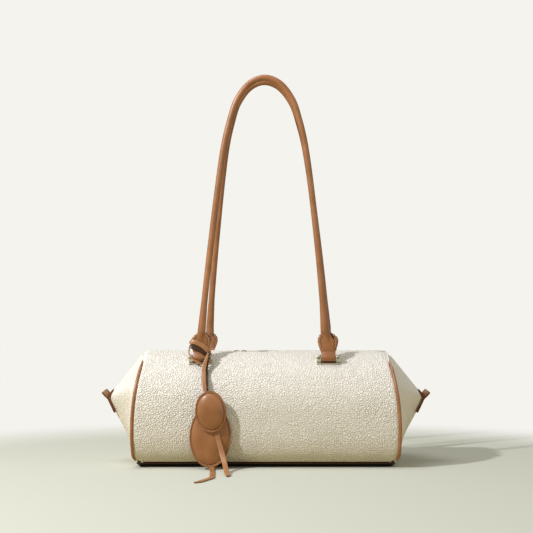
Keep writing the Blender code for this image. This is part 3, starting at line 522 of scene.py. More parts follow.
for gusset_name, side in (("end_gusset_left", -1), ("end_gusset_right", 1)):
    def slanted(k):
        """A row from the seam to the ridge, and round the nose below the zip."""
        angle = TOP_ANGLE + (BOTTOM_ANGLE - TOP_ANGLE) * k / last_row
        y, z = barrel(angle, GUSSET_INSET)
        start_x = seam_x(z) + GUSSET_START * beside_piping(z)
        start = Vector((start_x, y, z - corner_drop(z, 0.0) + corner_rise(z, 0.0)))
        ridge = ridge_line[min(k, len(ridge_line) - 1)]
        nose = NOSE_DEPTH * clamped(k / ROW_STEPS - RIDGE_ROWS)
        end = Vector((ridge.x - nose, -mouth, ridge.y))
        row = []
        for s in range(GUSSET_COLUMNS + 1):
            share = s / GUSSET_COLUMNS
            p = start.lerp(end, share)
            sag = SLACK * sin(pi * share) * sin(pi * min(1.0, k / last_row))
            row.append(p + Vector((-sag, sag * 0.6, 0)))
        if k >= upper_count:
            for s in range(1, NOSE_COLUMNS + 1):
                turn = pi / 2 * s / NOSE_COLUMNS
                row.append(Vector((end.x + nose * sin(turn), -mouth * cos(turn), ridge.y)))
        return row

    foot = []
    y_edge = barrel(BOTTOM_ANGLE, GUSSET_INSET)[0]
    for s in range(GUSSET_COLUMNS + NOSE_COLUMNS + 1):
        if s <= GUSSET_COLUMNS:
            across = y_edge + (-mouth - y_edge) * s / GUSSET_COLUMNS
        else:
            across = -mouth * cos(pi / 2 * (s - GUSSET_COLUMNS) / NOSE_COLUMNS)
        freed = min(1.0, s / GUSSET_FOOT_TUCK_COLUMNS)
        past = GUSSET_CLEARANCE * (1 - 0.9 * s / (GUSSET_COLUMNS + NOSE_COLUMNS)) * freed
        past -= GUSSET_FOOT_TUCK * (1 - freed)
        lifted = corner_rise(PANEL_BOTTOM, 0.0) * (1 - freed)
        stands = base_under(across) + BASE_THICKNESS + GAP + lifted
        foot.append(Vector((base_end(across) + past, across, stands)))

    rows = [slanted(k) for k in range(last_row - ROW_STEPS + 1)]
    final = rows[-1]
    for k in range(1, ROW_STEPS + 1):
        rows.append([a.lerp(b, k / ROW_STEPS) for a, b in zip(final, foot)])
    bm = bmesh.new()
    grid = [[bm.verts.new((side * p.x, p.y, p.z)) for p in row] for row in rows]
    for upper, lower in zip(grid, grid[1:]):
        for s in range(min(len(upper), len(lower)) - 1):
            bm.faces.new((upper[s], upper[s + 1], lower[s + 1], lower[s]))
    bmesh.ops.mirror(bm, geom=bm.verts[:] + bm.edges[:] + bm.faces[:], axis="Y", merge_dist=WELD)
    bmesh.ops.remove_doubles(bm, verts=bm.verts[:], dist=WELD)
    inner = [v for v in bm.verts if not v.is_boundary]
    for _ in range(SMOOTHING):
        bmesh.ops.smooth_vert(bm, verts=inner, factor=0.5, use_axis_x=True, use_axis_y=True, use_axis_z=True)
    grain = bm.verts.layers.float.new("grain")
    for v in bm.verts:
        v[grain] = 1.0
    faced(bm, 0, side)
    gusset = piece(gusset_name + "_leather", bm, [gusset_leather], 70)
    walled(gusset, LEATHER, THIN_EDGE_ROUND)
    belongs(gusset, "bag", gusset_name)


# Piping: cord covered with a strip of smooth tan leather, sewn into the end seams between panel and gusset.
# Each length is thin where it starts beside the zip and where it ends at the base.
PIPING_SUNK_SHARE = 0.35
PIPING_START_DROP = 0.004
PIPING_POINTS = 70
PIPING_START = (0.40, 9)
PIPING_END = (0.55, 6)
PORE_RELIEF = 0.00005
TAN = "#A5704A"
TAN_DEEP = "#8C5B35"
EDGE_PAINT = "#653619"


def smooth_leather(name, colour, deep, roughness):
    """Vegetable-tanned leather with a waxed face: a little cloudy, with fine pores under a soft gloss."""
    material, tree, shader = new_material(
        name, Roughness=roughness, Specular_IOR_Level=0.5, Coat_Weight=0.22, Coat_Roughness=0.28
    )
    place = node(tree, "TexCoord").outputs["Object"]
    clouds = node(tree, "TexNoise", {"Vector": place, "Scale": 60.0, "Detail": 4.0})
    spread = node(tree, "MapRange", {"Value": clouds, "From Min": 0.3, "From Max": 0.7})
    pores = node(tree, "TexNoise", {"Vector": place, "Scale": 1800.0, "Detail": 4.0})
    grain = node(tree, "TexVoronoi", {"Vector": place, "Scale": 1500.0})
    both = node(tree, "Math", {0: pores, 1: grain}, operation="ADD")
    covered(tree, shader, spread, deep, colour, both, PORE_RELIEF, 0.8)
    return material


def round_cord(name, points, radius, material, radii):
    """A round cord along points, its thickness at each a share of the radius, with filled ends."""
    curve = bpy.data.curves.new(name, "CURVE")
    curve.dimensions = "3D"
    curve.bevel_depth = radius
    curve.bevel_resolution = 5
    curve.use_fill_caps = True
    spline = curve.splines.new("POLY")
    spline.points.add(len(points) - 1)
    for place, p, share in zip(spline.points, points, radii):
        place.co = (*p, 1)
        place.radius = share
    spline.use_smooth = True
    curve.materials.append(material)
    obj = bpy.data.objects.new(name, curve)
    bpy.context.scene.collection.objects.link(obj)
    return obj


tan_leather = smooth_leather("tan calf leather, smooth waxed face", TAN, TAN_DEEP, 0.42)
edge_paint = plain("leather edge, burnished and painted brown", EDGE_PAINT, 0.5)
for end, x_side in (("left", -1), ("right", 1)):
    for face, y_side in (("front", 1), ("back", -1)):
        first = angle_at_height(MOUTH_Z - PIPING_START_DROP)
        last = angle_at_height(PANEL_BOTTOM + PIPING_RADIUS)
        points, radii = [], []
        for k in range(PIPING_POINTS + 1):
            y, z = barrel(first + (last - first) * k / PIPING_POINTS, PIPING_RADIUS * PIPING_SUNK_SHARE)
            points.append((x_side * seam_x(z), y_side * y, z))
            swells = PIPING_START[0] + (1 - PIPING_START[0]) * k / PIPING_START[1]
            thins = PIPING_END[0] + (1 - PIPING_END[0]) * (PIPING_POINTS - k) / PIPING_END[1]
            radii.append(min(1.0, swells, thins))
        piping_name = f"piping_{end}_{face}"
        piping = round_cord(piping_name + "_cord", points, PIPING_RADIUS, tan_leather, radii)
        belongs(piping, "bag", piping_name)


# Base: one piece of smooth leather, its painted edge showing as a thin line under the panels. Its dark brown is
# painted shade, for the shadow under the bag. It lies flat in the middle and curves up to its two long edges.
BASE_COLUMNS = 80
BASE_ROWS = 10
BASE_EDGE_PAINT = "#4F2817"
BASE_SHADE_DARK = "#2E1C12"
BASE_SHADE_DARK_DEEP = "#20130C"

# The base leather's dark brown is painted shade under the bag.
base_shade_leather = smooth_leather("base leather, smooth, dark brown as painted shade", BASE_SHADE_DARK, BASE_SHADE_DARK_DEEP, 0.6)
base_edge_paint = plain("base edge, painted brown", BASE_EDGE_PAINT, 0.7)
edge = BASE_EDGE_Y - GAP
rising = [BASE_FLAT_HALF + (edge - BASE_FLAT_HALF) * k / BASE_ROWS for k in range(BASE_ROWS + 1)]
ys = [-y for y in reversed(rising)] + [-BASE_FLAT_HALF / 2, 0, BASE_FLAT_HALF / 2] + rising
rows = []
for y in ys:
    shares = [1 - 2 * k / BASE_COLUMNS for k in range(BASE_COLUMNS + 1)]
    rows.append([(base_end(y) * share, y, base_under(y)) for share in shares])
bm = bmesh.new()
joined_rows(bm, rows)
faced(bm, 2, -1)
base = piece("base_shade_leather", bm, [base_shade_leather, base_edge_paint])
walled(base, BASE_THICKNESS, THIN_EDGE_ROUND).material_offset_rim = 1
belongs(base, "bag", "base_panel")


# End tabs: a strip of tan leather folded over each tip, its doubled end standing out as a stub to hold while
# zipping. The strip's cut edges are painted brown, and the stub's are raw.
TAB_WIDTH = 0.015
TAB_STUB_WIDTH = TAB_WIDTH - 0.0006
TAB_LEATHER = 0.0010
TAB_UPPER_LEG = 0.009
TAB_LOWER_LEG = 0.017
TAB_STUB_LENGTH = 0.0054
TAB_STUB_THICKNESS = 0.0052
TAB_STUB_LEAN = 0.25
TAB_STUB_SET_BACK = 0.0035
TAB_FOLD = 0.002
STUB_CORNER = 0.0012
STUB_CORNER_CUT = 0.0004
STUB_INNER = TAB_STUB_THICKNESS - 0.0014
STUB_SUNK = 0.0006
LEG_INNER = TAB_STUB_THICKNESS - 0.0013
LEG_THIN_SHARE = 0.85
TAB_LOWER_LEATHER = 0.0007
TAB_LOWER_SUNK = 0.0008
RAW_EDGE = "#927459"
QUARTER_X = Matrix.Rotation(pi / 2, 4, "X")


def rounded(bm, edges, offset, segments=3, **settings):
    """Rounds edges of a bmesh."""
    bmesh.ops.bevel(
        bm, geom=list(edges), offset=offset, segments=segments, profile=0.5, affect="EDGES", material=-1,
        **settings,
    )


def extruded(name, outline, width, materials, bevel=0.0003, hole=None):
    """An XZ outline, width wide along Y, with rounded edges. Its two flat sides take a second material."""
    curve = bpy.data.curves.new(name, "CURVE")
    curve.dimensions = "2D"
    curve.fill_mode = "BOTH"
    curve.extrude = width / 2
    for line in [outline] + ([hole] if hole else []):
        spline = curve.splines.new("POLY")
        spline.points.add(len(line) - 1)
        for place, (x, z) in zip(spline.points, line):
            place.co = (x, z, 0, 1)
        spline.use_cyclic_u = True
    guide = bpy.data.objects.new(name + "_guide", curve)
    bpy.context.scene.collection.objects.link(guide)
    bpy.context.view_layer.update()
    drawn = bpy.data.meshes.new_from_object(guide.evaluated_get(bpy.context.evaluated_depsgraph_get()))
    bm = bmesh.new()
    bm.from_mesh(drawn)
    bpy.data.objects.remove(guide, do_unlink=True)
    bpy.data.meshes.remove(drawn)
    bmesh.ops.transform(bm, matrix=QUARTER_X, verts=bm.verts[:])
    bmesh.ops.remove_doubles(bm, verts=bm.verts[:], dist=0.00002)
    bmesh.ops.dissolve_limit(bm, angle_limit=radians(1), verts=bm.verts[:], edges=bm.edges[:])
    bmesh.ops.recalc_face_normals(bm, faces=bm.faces[:])
    if len(materials) > 1:
        for f in bm.faces:
            f.material_index = 1 if abs(f.normal.y) > 0.9 else 0
    rim = [e for e in bm.edges if len(e.link_faces) == 2 and e.calc_face_angle() > radians(40)]
    rounded(bm, rim, bevel, 2, clamp_overlap=True)
    return piece(name, bm, materials)


corner = Vector((SEAM_SHORTEST_X + SEAM_CLEARANCE, MOUTH_Z))
up = (corner - tip_point).normalized()
down = (Vector(LOWER_SLOPE[0]) - tip_point).normalized()
off_up = Vector((-up.y, up.x)) * (1 if -up.y > 0 else -1)
off_down = Vector((-down.y, down.x)) * (1 if -down.y > 0 else -1)
out = (off_up + Vector((0, TAB_STUB_LEAN))).normalized()
across = Vector((out.y, -out.x))
inner_gap, outer_gap, lower_gap = -GAP, 1.2 * GAP + TAB_LEATHER, 1.2 * GAP + TAB_LOWER_LEATHER
root = tip_point + off_up * outer_gap + up * TAB_STUB_SET_BACK
far = root + out * TAB_STUB_LENGTH
far_under = far + across * TAB_STUB_THICKNESS
fold = tip_point + off_down * lower_gap + down * TAB_FOLD
stub = [
    root, far - out * STUB_CORNER, far - out * STUB_CORNER_CUT + across * STUB_CORNER_CUT,
    far + across * STUB_CORNER, far + across * STUB_INNER, root + across * STUB_INNER - out * STUB_SUNK,
]
legs = [
    tip_point + up * TAB_UPPER_LEG + off_up * inner_gap,
    tip_point + up * TAB_UPPER_LEG + off_up * outer_gap * LEG_THIN_SHARE,
    root - out * 0.0001,
    root + across * LEG_INNER - out * 0.0004,
    far + across * LEG_INNER,
    far_under - across * 0.0006 + out * 0.0001,
    far_under - out * 0.0008,
    root + out * 0.001 + across * TAB_STUB_THICKNESS,
    fold,
    tip_point + off_down * lower_gap + down * (TAB_LOWER_LEG - 0.0005),
    tip_point + off_down * (lower_gap * 0.6) + down * TAB_LOWER_LEG,
    tip_point - off_down * TAB_LOWER_SUNK + down * TAB_LOWER_LEG,
    tip_point - off_down * TAB_LOWER_SUNK + down * TAB_FOLD,
]
raw_edge = plain("tan leather, raw cut edge", RAW_EDGE, 0.8)
for tab_name, side in (("end_tab_left", -1), ("end_tab_right", 1)):
    turned_legs = [(side * p.x, p.y) for p in legs]
    turned_stub = [(side * p.x, p.y) for p in stub]
    strip = extruded(tab_name + "_strip", turned_legs, TAB_WIDTH, [tan_leather, edge_paint])
    doubled = extruded(tab_name + "_stub", turned_stub, TAB_STUB_WIDTH, [tan_leather, raw_edge], EDGE_ROUND)
    belongs(strip, "bag", tab_name)
    belongs(doubled, "bag")


# What lies inside: the sewn cotton lining, the fibre board that keeps the base flat, and the cord in the
# handles. They keep the shapes of the frame's nodes and are only painted.
CLOTH = "#B9AE98"
CLOTH_DEEP = "#A2967F"
BOARD = "#8C7F6B"


def woven_cloth(name, colour, deep, thread):
    """Plain-woven cotton: threads that cross over and under, matt, with darker gaps between them."""
    material, tree, shader = new_material(name, Roughness=0.85, Specular_IOR_Level=0.2, Sheen_Weight=0.15)
    place = node(tree, "TexCoord").outputs["Object"]
    turn = pi / thread
    heights = []
    for axis, shift in ((0, 0.0), (1, pi / 2)):
        split = node(tree, "SeparateXYZ", {0: place})
        flat = node(tree, "Math", {0: split.outputs[axis], 1: turn, 2: shift}, operation="MULTIPLY_ADD")
        heights.append(node(tree, "Math", {0: flat}, operation="SINE").outputs[0])
    weave = node(tree, "Math", {0: heights[0], 1: heights[1]}, operation="MULTIPLY")
    level = node(tree, "MapRange", {"Value": weave, "From Min": -1.0, "From Max": 1.0})
    covered(tree, shader, level, deep, colour, level, thread * 0.25, 0.7)
    return material


lining_cloth = woven_cloth("lining cotton, plain weave", CLOTH, CLOTH_DEEP, 0.0004)
fibre_board = plain("pressed fibre board, raw", BOARD, 0.95)
for hidden_name, hidden_material in (
    ("lining", lining_cloth), ("base_board", fibre_board),
    ("handle_core_front", lining_cloth), ("handle_core_back", lining_cloth),
):
    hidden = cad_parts[hidden_name]
    if hidden.material_slots:
        hidden.material_slots[0].material = hidden_material
    else:
        hidden.data.materials.append(hidden_material)


# Zip: two woven tapes sewn under the panels' edges, each carrying a row of pressed nickel teeth that mesh.
# It runs along the crest and down both ends, nearly to the tips.
TAPE_THICKNESS = 0.0008
TAPE_WIDTH = 0.0075
TAPE_FALL = 0.0024
TEETH_WIDTH = 0.0023
TEETH_HEIGHT = 0.0016
TAPE_EDGE_SHARE = 0.35
ZIP_CORNER_RUN = 0.006
ZIP_CORNER_SHARE = 0.35
ZIP_END_MARGIN = 0.012
TOOTH_PITCH = 0.0021
TOOTH_LENGTH = 0.0012
TOOTH_OVERLAP = 0.00055
TOOTH_ROUND = 0.00018
TAPE_DROP = LEATHER + GAP
TEETH_TOP_DROP = TAPE_DROP - TEETH_HEIGHT - GAP
NICKEL = "#D6D2C8"
TAPE_IVORY = "#D9CFB9"
TAPE_IVORY_DEEP = "#B8AC93"


def zip_side(drop):
    """The zip's way in side view from one tip over the crest to the other, this far below the leather."""
    slope = (tip_point - corner).normalized()
    inward = Vector((slope.y, -slope.x))
    far_end = tip_point - slope * ZIP_END_MARGIN + inward * drop
    level = MOUTH_Z - drop
    turn = Vector((corner.x - drop * tan(acos(slope.x) / 2), level))
    half = [far_end, turn + slope * ZIP_CORNER_RUN, turn + slope * ZIP_CORNER_SHARE * ZIP_CORNER_RUN]
    half += [turn - Vector((share * ZIP_CORNER_RUN, 0)) for share in (ZIP_CORNER_SHARE, 1)]
    half += [Vector((turn.x * share, level)) for share in (0.6, 0.3, 0.0)]
    return half + [Vector((-p.x, p.y)) for p in reversed(half[:-1])]


def measured(points, spacing):
    """Places at even spacing along a line of points, each with the line's direction there."""
    found = []
    travelled, due = 0.0, spacing / 2
    for a, b in zip(points, points[1:]):
        length = (b - a).length
        while due <= travelled + length:
            found.append((a.lerp(b, (due - travelled) / length), (b - a).normalized()))
            due += spacing
        travelled += length
    return found


nickel = plain("nickel-plated steel, polished", NICKEL, 0.28, Metallic=1.0)
tape_cloth = woven_cloth("zip tape, ivory cotton twill", TAPE_IVORY, TAPE_IVORY_DEEP, 0.0005)
for zip_name, side in (("front", -1), ("back", 1)):
    y_near = side * TEETH_WIDTH * TAPE_EDGE_SHARE
    y_far = side * (TEETH_WIDTH * TAPE_EDGE_SHARE + TAPE_WIDTH)
    near_line, far_line = zip_side(TAPE_DROP), zip_side(TAPE_DROP + TAPE_FALL)
    bm = bmesh.new()
    joined_rows(bm, [[(p.x, y_near, p.y) for p in near_line], [(p.x, y_far, p.y) for p in far_line]])
    faced(bm, 2, 1)
    tape = piece(f"zip_tape_{zip_name}_cloth", bm, [tape_cloth])
    walled(tape, TAPE_THICKNESS)
    belongs(tape, "bag", f"zip_tape_{zip_name}")

    bm = bmesh.new()
    middle = [Vector((p.x, 0, p.y)) for p in zip_side((TEETH_TOP_DROP + TAPE_DROP) / 2)]
    for place, along in measured(middle, TOOTH_PITCH / 2):
        number = round(place.x / TOOTH_PITCH * 2)
        if (number % 2 == 0) != (side < 0):
            continue
        upward = Vector((-along.z, 0, along.x)) * (1 if along.x > 0 else -1)
        turned = turned_to(along, upward.cross(along), upward)
        reach = TEETH_WIDTH + TOOTH_OVERLAP
        at = place + Vector((0, side * (TEETH_WIDTH - TOOTH_OVERLAP) / 2, 0))
        size = Matrix.Diagonal((TOOTH_LENGTH * 0.75, reach, TEETH_HEIGHT, 1))
        bmesh.ops.create_cube(bm, size=1.0, matrix=Matrix.Translation(at) @ turned @ size)
    rounded(bm, bm.edges[:], TOOTH_ROUND, 1)
    teeth = piece(f"zip_teeth_{zip_name}_row", bm, [nickel], 25)
    belongs(teeth, "bag", f"zip_teeth_{zip_name}")


# Two sliders that meet on the crest, cast and plated: a plate over the teeth with a bridge for its pull.
# Each pull is a flat tongue whose slot goes round the bridge, and lies along the zip.
SLIDER_LENGTH = 0.007
SLIDER_WALL = 0.0008
SLIDER_ROUND = 0.0002
FLANGE_SUNK = 0.0004
BRIDGE_ROUND = 0.00015
BRIDGE_SUNK = 0.0001
PULL_ROUND = 0.00022
PULL_PLAY = 0.0004
SLIDER_SKIRT_SHARE = 0.7
SLIDER_SHIELD = ((-1, 0.72), (-0.5, 0.80), (0.25, 1), (0.8, 1), (1, 0.80))
SLIDER_MEET_X = -0.0258
BRIDGE_WIDTH = 0.0014
BRIDGE_WALL = 0.0009
BRIDGE_LENGTH = 0.0056
EYE_HALF = 0.0011
PULL_LENGTH = 0.018
PULL_WIDTH = 0.0048
PULL_THICKNESS = 0.0010
PULL_CROSS_BAR = 0.0010
PULL_HOLE_LENGTH = 0.0042
PULL_EYE_SHAPE = ((0.0, 0.42), (0.0006, 0.5), (0.0056, 0.5), (0.0075, 0.40))
PULL_TIP_SHAPE = ((0.0035, 0.5), (0.0010, 0.42), (0.0, 0.2))


def oval_line(half_x, half_y, power=1.0, count=32, centre=(0, 0)):
    """A closed line between an ellipse and a box."""
    line = []
    for k in range(count):
        a = 2 * pi * k / count
        x = half_x * copysign(abs(cos(a)) ** power, cos(a))
        y = half_y * copysign(abs(sin(a)) ** power, sin(a))
        line.append((centre[0] + x, centre[1] + y))
    return line


def rounded_block(bm, size, matrix, bevel, segments=3):
    """A box with rounded edges, added to a bmesh."""
    made = bmesh.ops.create_cube(bm, size=1.0, matrix=matrix @ Matrix.Diagonal((*size, 1)))
    rounded(bm, {e for v in made["verts"] for e in v.link_edges}, bevel, segments)


teeth_top = MOUTH_Z - TEETH_TOP_DROP
slider_half = TEETH_WIDTH + GAP / 2 + GAP + SLIDER_WALL
slider_top = teeth_top + GAP + SLIDER_WALL
skirt = TEETH_HEIGHT * SLIDER_SKIRT_SHARE
for end, side in (("left", -1), ("right", 1)):
    x = SLIDER_MEET_X + side * (SLIDER_LENGTH + GAP * 1.5) / 2
    half = SLIDER_LENGTH / 2
    shield = [(half * a, -slider_half * b) for a, b in SLIDER_SHIELD]
    outline = shield + [(a, -b) for a, b in reversed(shield)]
    outline = [(a * -side, b) for a, b in outline]
    plate = extruded(f"zip_slider_{end}_cast", outline, SLIDER_WALL, [nickel], SLIDER_ROUND)
    bm = bmesh.new()
    bm.from_mesh(plate.data)
    flat = Matrix.Translation((x, 0, slider_top - SLIDER_WALL / 2)) @ QUARTER_X
    bmesh.ops.transform(bm, matrix=flat, verts=bm.verts[:])
    for flank in (-1, 1):
        flange_y = flank * (slider_half - SLIDER_WALL / 2)
        flange = Matrix.Translation((x, flange_y, slider_top - skirt / 2 - FLANGE_SUNK))
        flange_size = (SLIDER_LENGTH * 0.72, SLIDER_WALL, skirt + FLANGE_SUNK)
        rounded_block(bm, flange_size, flange, SLIDER_ROUND, 2)
    arch = []
    for wall_out in (0.0, BRIDGE_WALL):
        line = []
        reach_x, reach_z = BRIDGE_LENGTH / 2 - BRIDGE_WALL + wall_out, 2 * EYE_HALF + wall_out
        for k in range(17):
            a = pi * k / 16
            line.append((reach_x * copysign(abs(cos(a)) ** 0.5, cos(a)), reach_z * sin(a) ** 0.5))
        arch.append(line)
    loop = arch[1] + list(reversed(arch[0]))
    bridge = extruded(f"slider_bridge_{end}", loop, BRIDGE_WIDTH, [nickel], BRIDGE_ROUND)
    bridge.data.transform(Matrix.Translation((x, 0, slider_top - BRIDGE_SUNK)))
    bm.to_mesh(plate.data)
    bm.free()
    belongs(plate, f"{end}_slider", f"zip_slider_{end}")
    belongs(bridge, f"{end}_slider")

    pivot_z = slider_top + EYE_HALF
    tongue = [(run - PULL_CROSS_BAR / 2, -PULL_WIDTH * share) for run, share in PULL_EYE_SHAPE]
    tongue += [(PULL_LENGTH - run, -PULL_WIDTH * share) for run, share in PULL_TIP_SHAPE]
    tongue = tongue + [(a, -b) for a, b in reversed(tongue)]
    hole = oval_line(
        PULL_HOLE_LENGTH / 2, BRIDGE_WIDTH / 2 + PULL_PLAY, 0.6, 20,
        (PULL_CROSS_BAR / 2 + PULL_HOLE_LENGTH / 2, 0),
    )
    tongue = [(a * side, b) for a, b in tongue]
    hole = [(a * side, b) for a, b in hole]
    pull = extruded(f"zip_pull_{end}_tongue", tongue, PULL_THICKNESS, [nickel], PULL_ROUND, hole)
    pull.data.transform(Matrix.Translation((x, 0, pivot_z)) @ QUARTER_X)
    belongs(pull, f"{end}_pull", f"zip_pull_{end}")


# Handle hardware: four nickel brackets riveted through the panels, each a plate with two round-headed posts.
# A bar goes through both posts, held by a grub screw in either.
BRACKET_Y = 0.035
BRACKET_WIDTH = 0.023
BRACKET_DEPTH = 0.008
BRACKET_PLATE = 0.0012
BAR_HEIGHT = 0.0052
BAR_RADIUS = 0.0017
POST_WIDTH = 0.0043
POST_HEAD_RADIUS = 0.0028
POST_DEPTH = 0.0046
BRACKET_ROUND = 0.0004
POST_HEAD_ROUND = 0.0005
BAR_ROUND = 0.0003
BAR_STICKS_OUT = 0.0004
HANDLE_HALF_SPREAD = 0.0625
HANDLE_SHIFT = {"front": -0.0016, "back": 0.0030}
SCREW_RADIUS = 0.00085
SCREW_DEPTH = 0.0007
SCREW_SUNK = 0.00025
SCREW_SOCKET_SHADE = "#3A3833"


def surface_frame(y_side):
    """The matrix that stands a bracket on the barrel: X along the bag, Z out of the leather."""
    angle = angle_at_depth(BRACKET_Y)
    y, z = barrel(angle)
    y_next, z_next = barrel(angle - 0.01)
    tangent = Vector((0, y_next - y, z_next - z)).normalized()
    normal = Vector((0, tangent.z, -tangent.y))
    normal *= 1 if normal.z > 0 else -1
    if y_side > 0:
        y, normal = -y, Vector((0, -normal.y, normal.z))
    x_axis = Vector((1, 0, 0))
    return Matrix.Translation((0, y, z)) @ turned_to(x_axis, normal.cross(x_axis), normal)


def turned_bar(bm, radius, length, matrix, bevel):
    """A round bar along the matrix's X with rounded ends, added to a bmesh."""
    made = bmesh.ops.create_cone(
        bm, cap_ends=True, segments=40, radius1=radius, radius2=radius, depth=length,
        matrix=matrix @ Matrix.Rotation(pi / 2, 4, "Y"),
    )
    ends = {f for v in made["verts"] for f in v.link_faces if len(f.verts) > 4}
    rounded(bm, {e for f in ends for e in f.edges}, bevel)


screw_with_socket_shade = plain("screw recess, blackened steel", SCREW_SOCKET_SHADE, 0.5, Metallic=0.6)
for face, y_side in (("front", -1), ("back", 1)):
    for end, end_side in (("left", -1), ("right", 1)):
        middle_x = HANDLE_SHIFT[face] + HANDLE_HALF_SPREAD * end_side
        stand = Matrix.Translation((middle_x, 0, 0)) @ surface_frame(y_side)
        bar_z = GAP + BAR_HEIGHT
        bm = bmesh.new()
        rounded_block(
            bm, (BRACKET_WIDTH, BRACKET_DEPTH, BRACKET_PLATE),
            stand @ Matrix.Translation((0, 0, GAP + BRACKET_PLATE / 2)), BRACKET_ROUND,
        )
        for flank in (-1, 1):
            post_x = flank * (BRACKET_WIDTH - POST_WIDTH) / 2
            rounded_block(
                bm, (POST_WIDTH, POST_DEPTH, bar_z - BRACKET_PLATE * 0.5),
                stand @ Matrix.Translation((post_x, 0, (bar_z + BRACKET_PLATE * 0.5) / 2)), BRACKET_ROUND,
            )
            head = stand @ Matrix.Translation((post_x, 0, bar_z))
            turned_bar(bm, POST_HEAD_RADIUS, POST_WIDTH, head, POST_HEAD_ROUND)
        bracket_name = f"handle_bracket_{face}_{end}"
        belongs(piece(bracket_name + "_cast", bm, [nickel]), "bag", bracket_name)

        # Each grub screw is a small dark disc on its post's head: blackened steel, darkened further as painted
        # shade of its socket.
        bm = bmesh.new()
        for flank in (-1, 1):
            post_x = flank * (BRACKET_WIDTH - POST_WIDTH) / 2
            level = stand @ Vector((post_x, 0, bar_z))
            outward = Vector((0, y_side, -0.2)).normalized()
            at = level + outward * (POST_HEAD_RADIUS - SCREW_SUNK)
            turned = Matrix.Translation(at) @ outward.to_track_quat("Z", "X").to_matrix().to_4x4()
            bmesh.ops.create_cone(
                bm, cap_ends=True, segments=24, radius1=SCREW_RADIUS, radius2=SCREW_RADIUS * 0.9,
                depth=SCREW_DEPTH, matrix=turned,
            )
        belongs(piece(bracket_name + "_screws", bm, [screw_with_socket_shade]), "bag")

        bm = bmesh.new()
        level = stand @ Matrix.Translation((0, 0, bar_z))
        turned_bar(bm, BAR_RADIUS, BRACKET_WIDTH + BAR_STICKS_OUT, level, BAR_ROUND)
        bar_name = f"handle_bar_{face}_{end}"
        belongs(piece(bar_name + "_rod", bm, [nickel]), "bag", bar_name)


# Handles: tan leather rolled round a cord and closed along the inside, opening at each end into a flat leaf.
# Each leaf is doubled, stitched along both rims, and looped round its bar.
HANDLE_RADIUS = 0.0031
HANDLE_LEAN = radians(4.3)
STRAP_HALF = 0.0068
STRAP_THICKNESS = 0.0036
STRAP_LOOP_WALL = 0.0015
LEAF_TOP = 0.0250
LEAF_START = 0.0045
LEAF_OVERLAP = 0.0004
LEAF_RINGS = 48
LEAF_PLATE_SHARE = 0.9
LEAF_PAINT_SHARE = 0.93
LEAF_PAINT_END = 0.002
LOOP_TOP = 0.0058
COVER_START = 0.0095
COVER_SPREAD = 0.0026
SHOULDER_START = 0.0190
LEAF_LEAN_LOW = 0.4
LEAF_WIDTHS = (
    (0.0068, 0.0045), (0.0071, 0.0060), (0.0077, 0.0074), (0.0085, 0.0100), (0.0091, 0.0124),
    (0.0095, 0.0154), (0.0089, 0.0186), (0.0068, 0.0216), (0.0043, 0.0240), (0.0031, 0.0256),
)
ARCH = (
    (0.0600, 0.0270), (0.0577, 0.0560), (0.0539, 0.0960), (0.0496, 0.1350),
    (0.0461, 0.1650), (0.0423, 0.1940), (0.0388, 0.2150), (0.0342, 0.2340),
    (0.0275, 0.2540), (0.0152, 0.2703), (0.0, 0.2762),
)
HANDLE_SWAY = {"front": (-0.0017, 0.0004), "back": (0.0, -0.0044)}
SEAM_GROOVE = 0.00055
SEAM_GROOVE_HALF = radians(13)
PROFILE_COUNT = 40
LEAF_PROFILE_COUNT = 64
LEAF_STITCH_PITCH = 0.0025
LEAF_STITCH_INSET = 0.0014
LEAF_HOLE_INSET = 0.0027
LEAF_STITCH_SPAN = (0.0096, 0.0216)
LEAF_STITCH = (LEAF_STITCH_PITCH * 0.72, 0.00036)
LEAF_HOLE = (0.0012, 0.0004)
LEAF_THREAD_LIFT = 0.00004
SHADE_SLIT_DEPTH = 0.0009
LEAF_SQUAT = {"front": 1.0, "back": 0.87}
LEAF_SHADE_SLITS = {
    ("front", "right"): ((0.0020, 0.0243), (0.0053, 0.0180), 0.0016),
    ("back", "left"): ((-0.0016, 0.0222), (0.0027, 0.0132), 0.0036),
}
FOOT_SWELL = 0.0009
FOOT_SWELL_RUN = 0.030
LIGHT_THREAD = "#C79A70"
HOLE_SHADE_DARK = "#2A170C"


def bar_frame(face):
    """The matrix of a handle: X along its bars, Z up its arch."""
    y_side = -1 if face == "front" else 1
    spot = surface_frame(y_side) @ Vector((0, 0, GAP + BAR_HEIGHT))
    return Matrix.Translation((0, spot.y, spot.z)) @ Matrix.Rotation(y_side * HANDLE_LEAN, 4, "X")


def arch_line(face):
    """The rolled part's middle line from its right foot to its left. Soft as it is, it sways a little."""
    low, high = HANDLE_SWAY[face]
    line = []
    for side, half in ((1, ARCH), (-1, ARCH[-2::-1])):
        for w, h in half:
            share = h / ARCH[-1][1]
            sway = low * (1 - share) ** 3 + high * share
            line.append(Vector((HANDLE_SHIFT[face] + sway + side * w, 0, h)))
    return line


def leaf_lean(height):
    """The share of the way from its bar to the rolled part that a leaf's middle has gone at a height."""
    share = height / LEAF_TOP
    return LEAF_LEAN_LOW * share + (1 - LEAF_LEAN_LOW) * share**6


def swept(bm, path, section_at, width_axis, closed=False):
    """Rings of a section's points along a path. The section's first number lies along the width axis."""
    rings = []
    count = len(path)
    for k, p in enumerate(path):
        after = path[(k + 1) % count] if closed else path[min(k + 1, count - 1)]
        before = path[k - 1] if closed or k else path[0]
        ahead = (after - before).normalized()
        side = (Vector(width_axis) - ahead * ahead.dot(Vector(width_axis))).normalized()
        third = side.cross(ahead).normalized()
        rings.append([p + side * a + third * b for a, b in section_at(k)])
    if closed:
        rings.append(rings[0])
    grid = joined_rows(bm, rings, closed=True)
    if closed:
        bmesh.ops.remove_doubles(bm, verts=bm.verts[:], dist=0.000001)
    return grid


def eased(share):
    """A share that starts and ends gently."""
    return share * share * (3 - 2 * share)


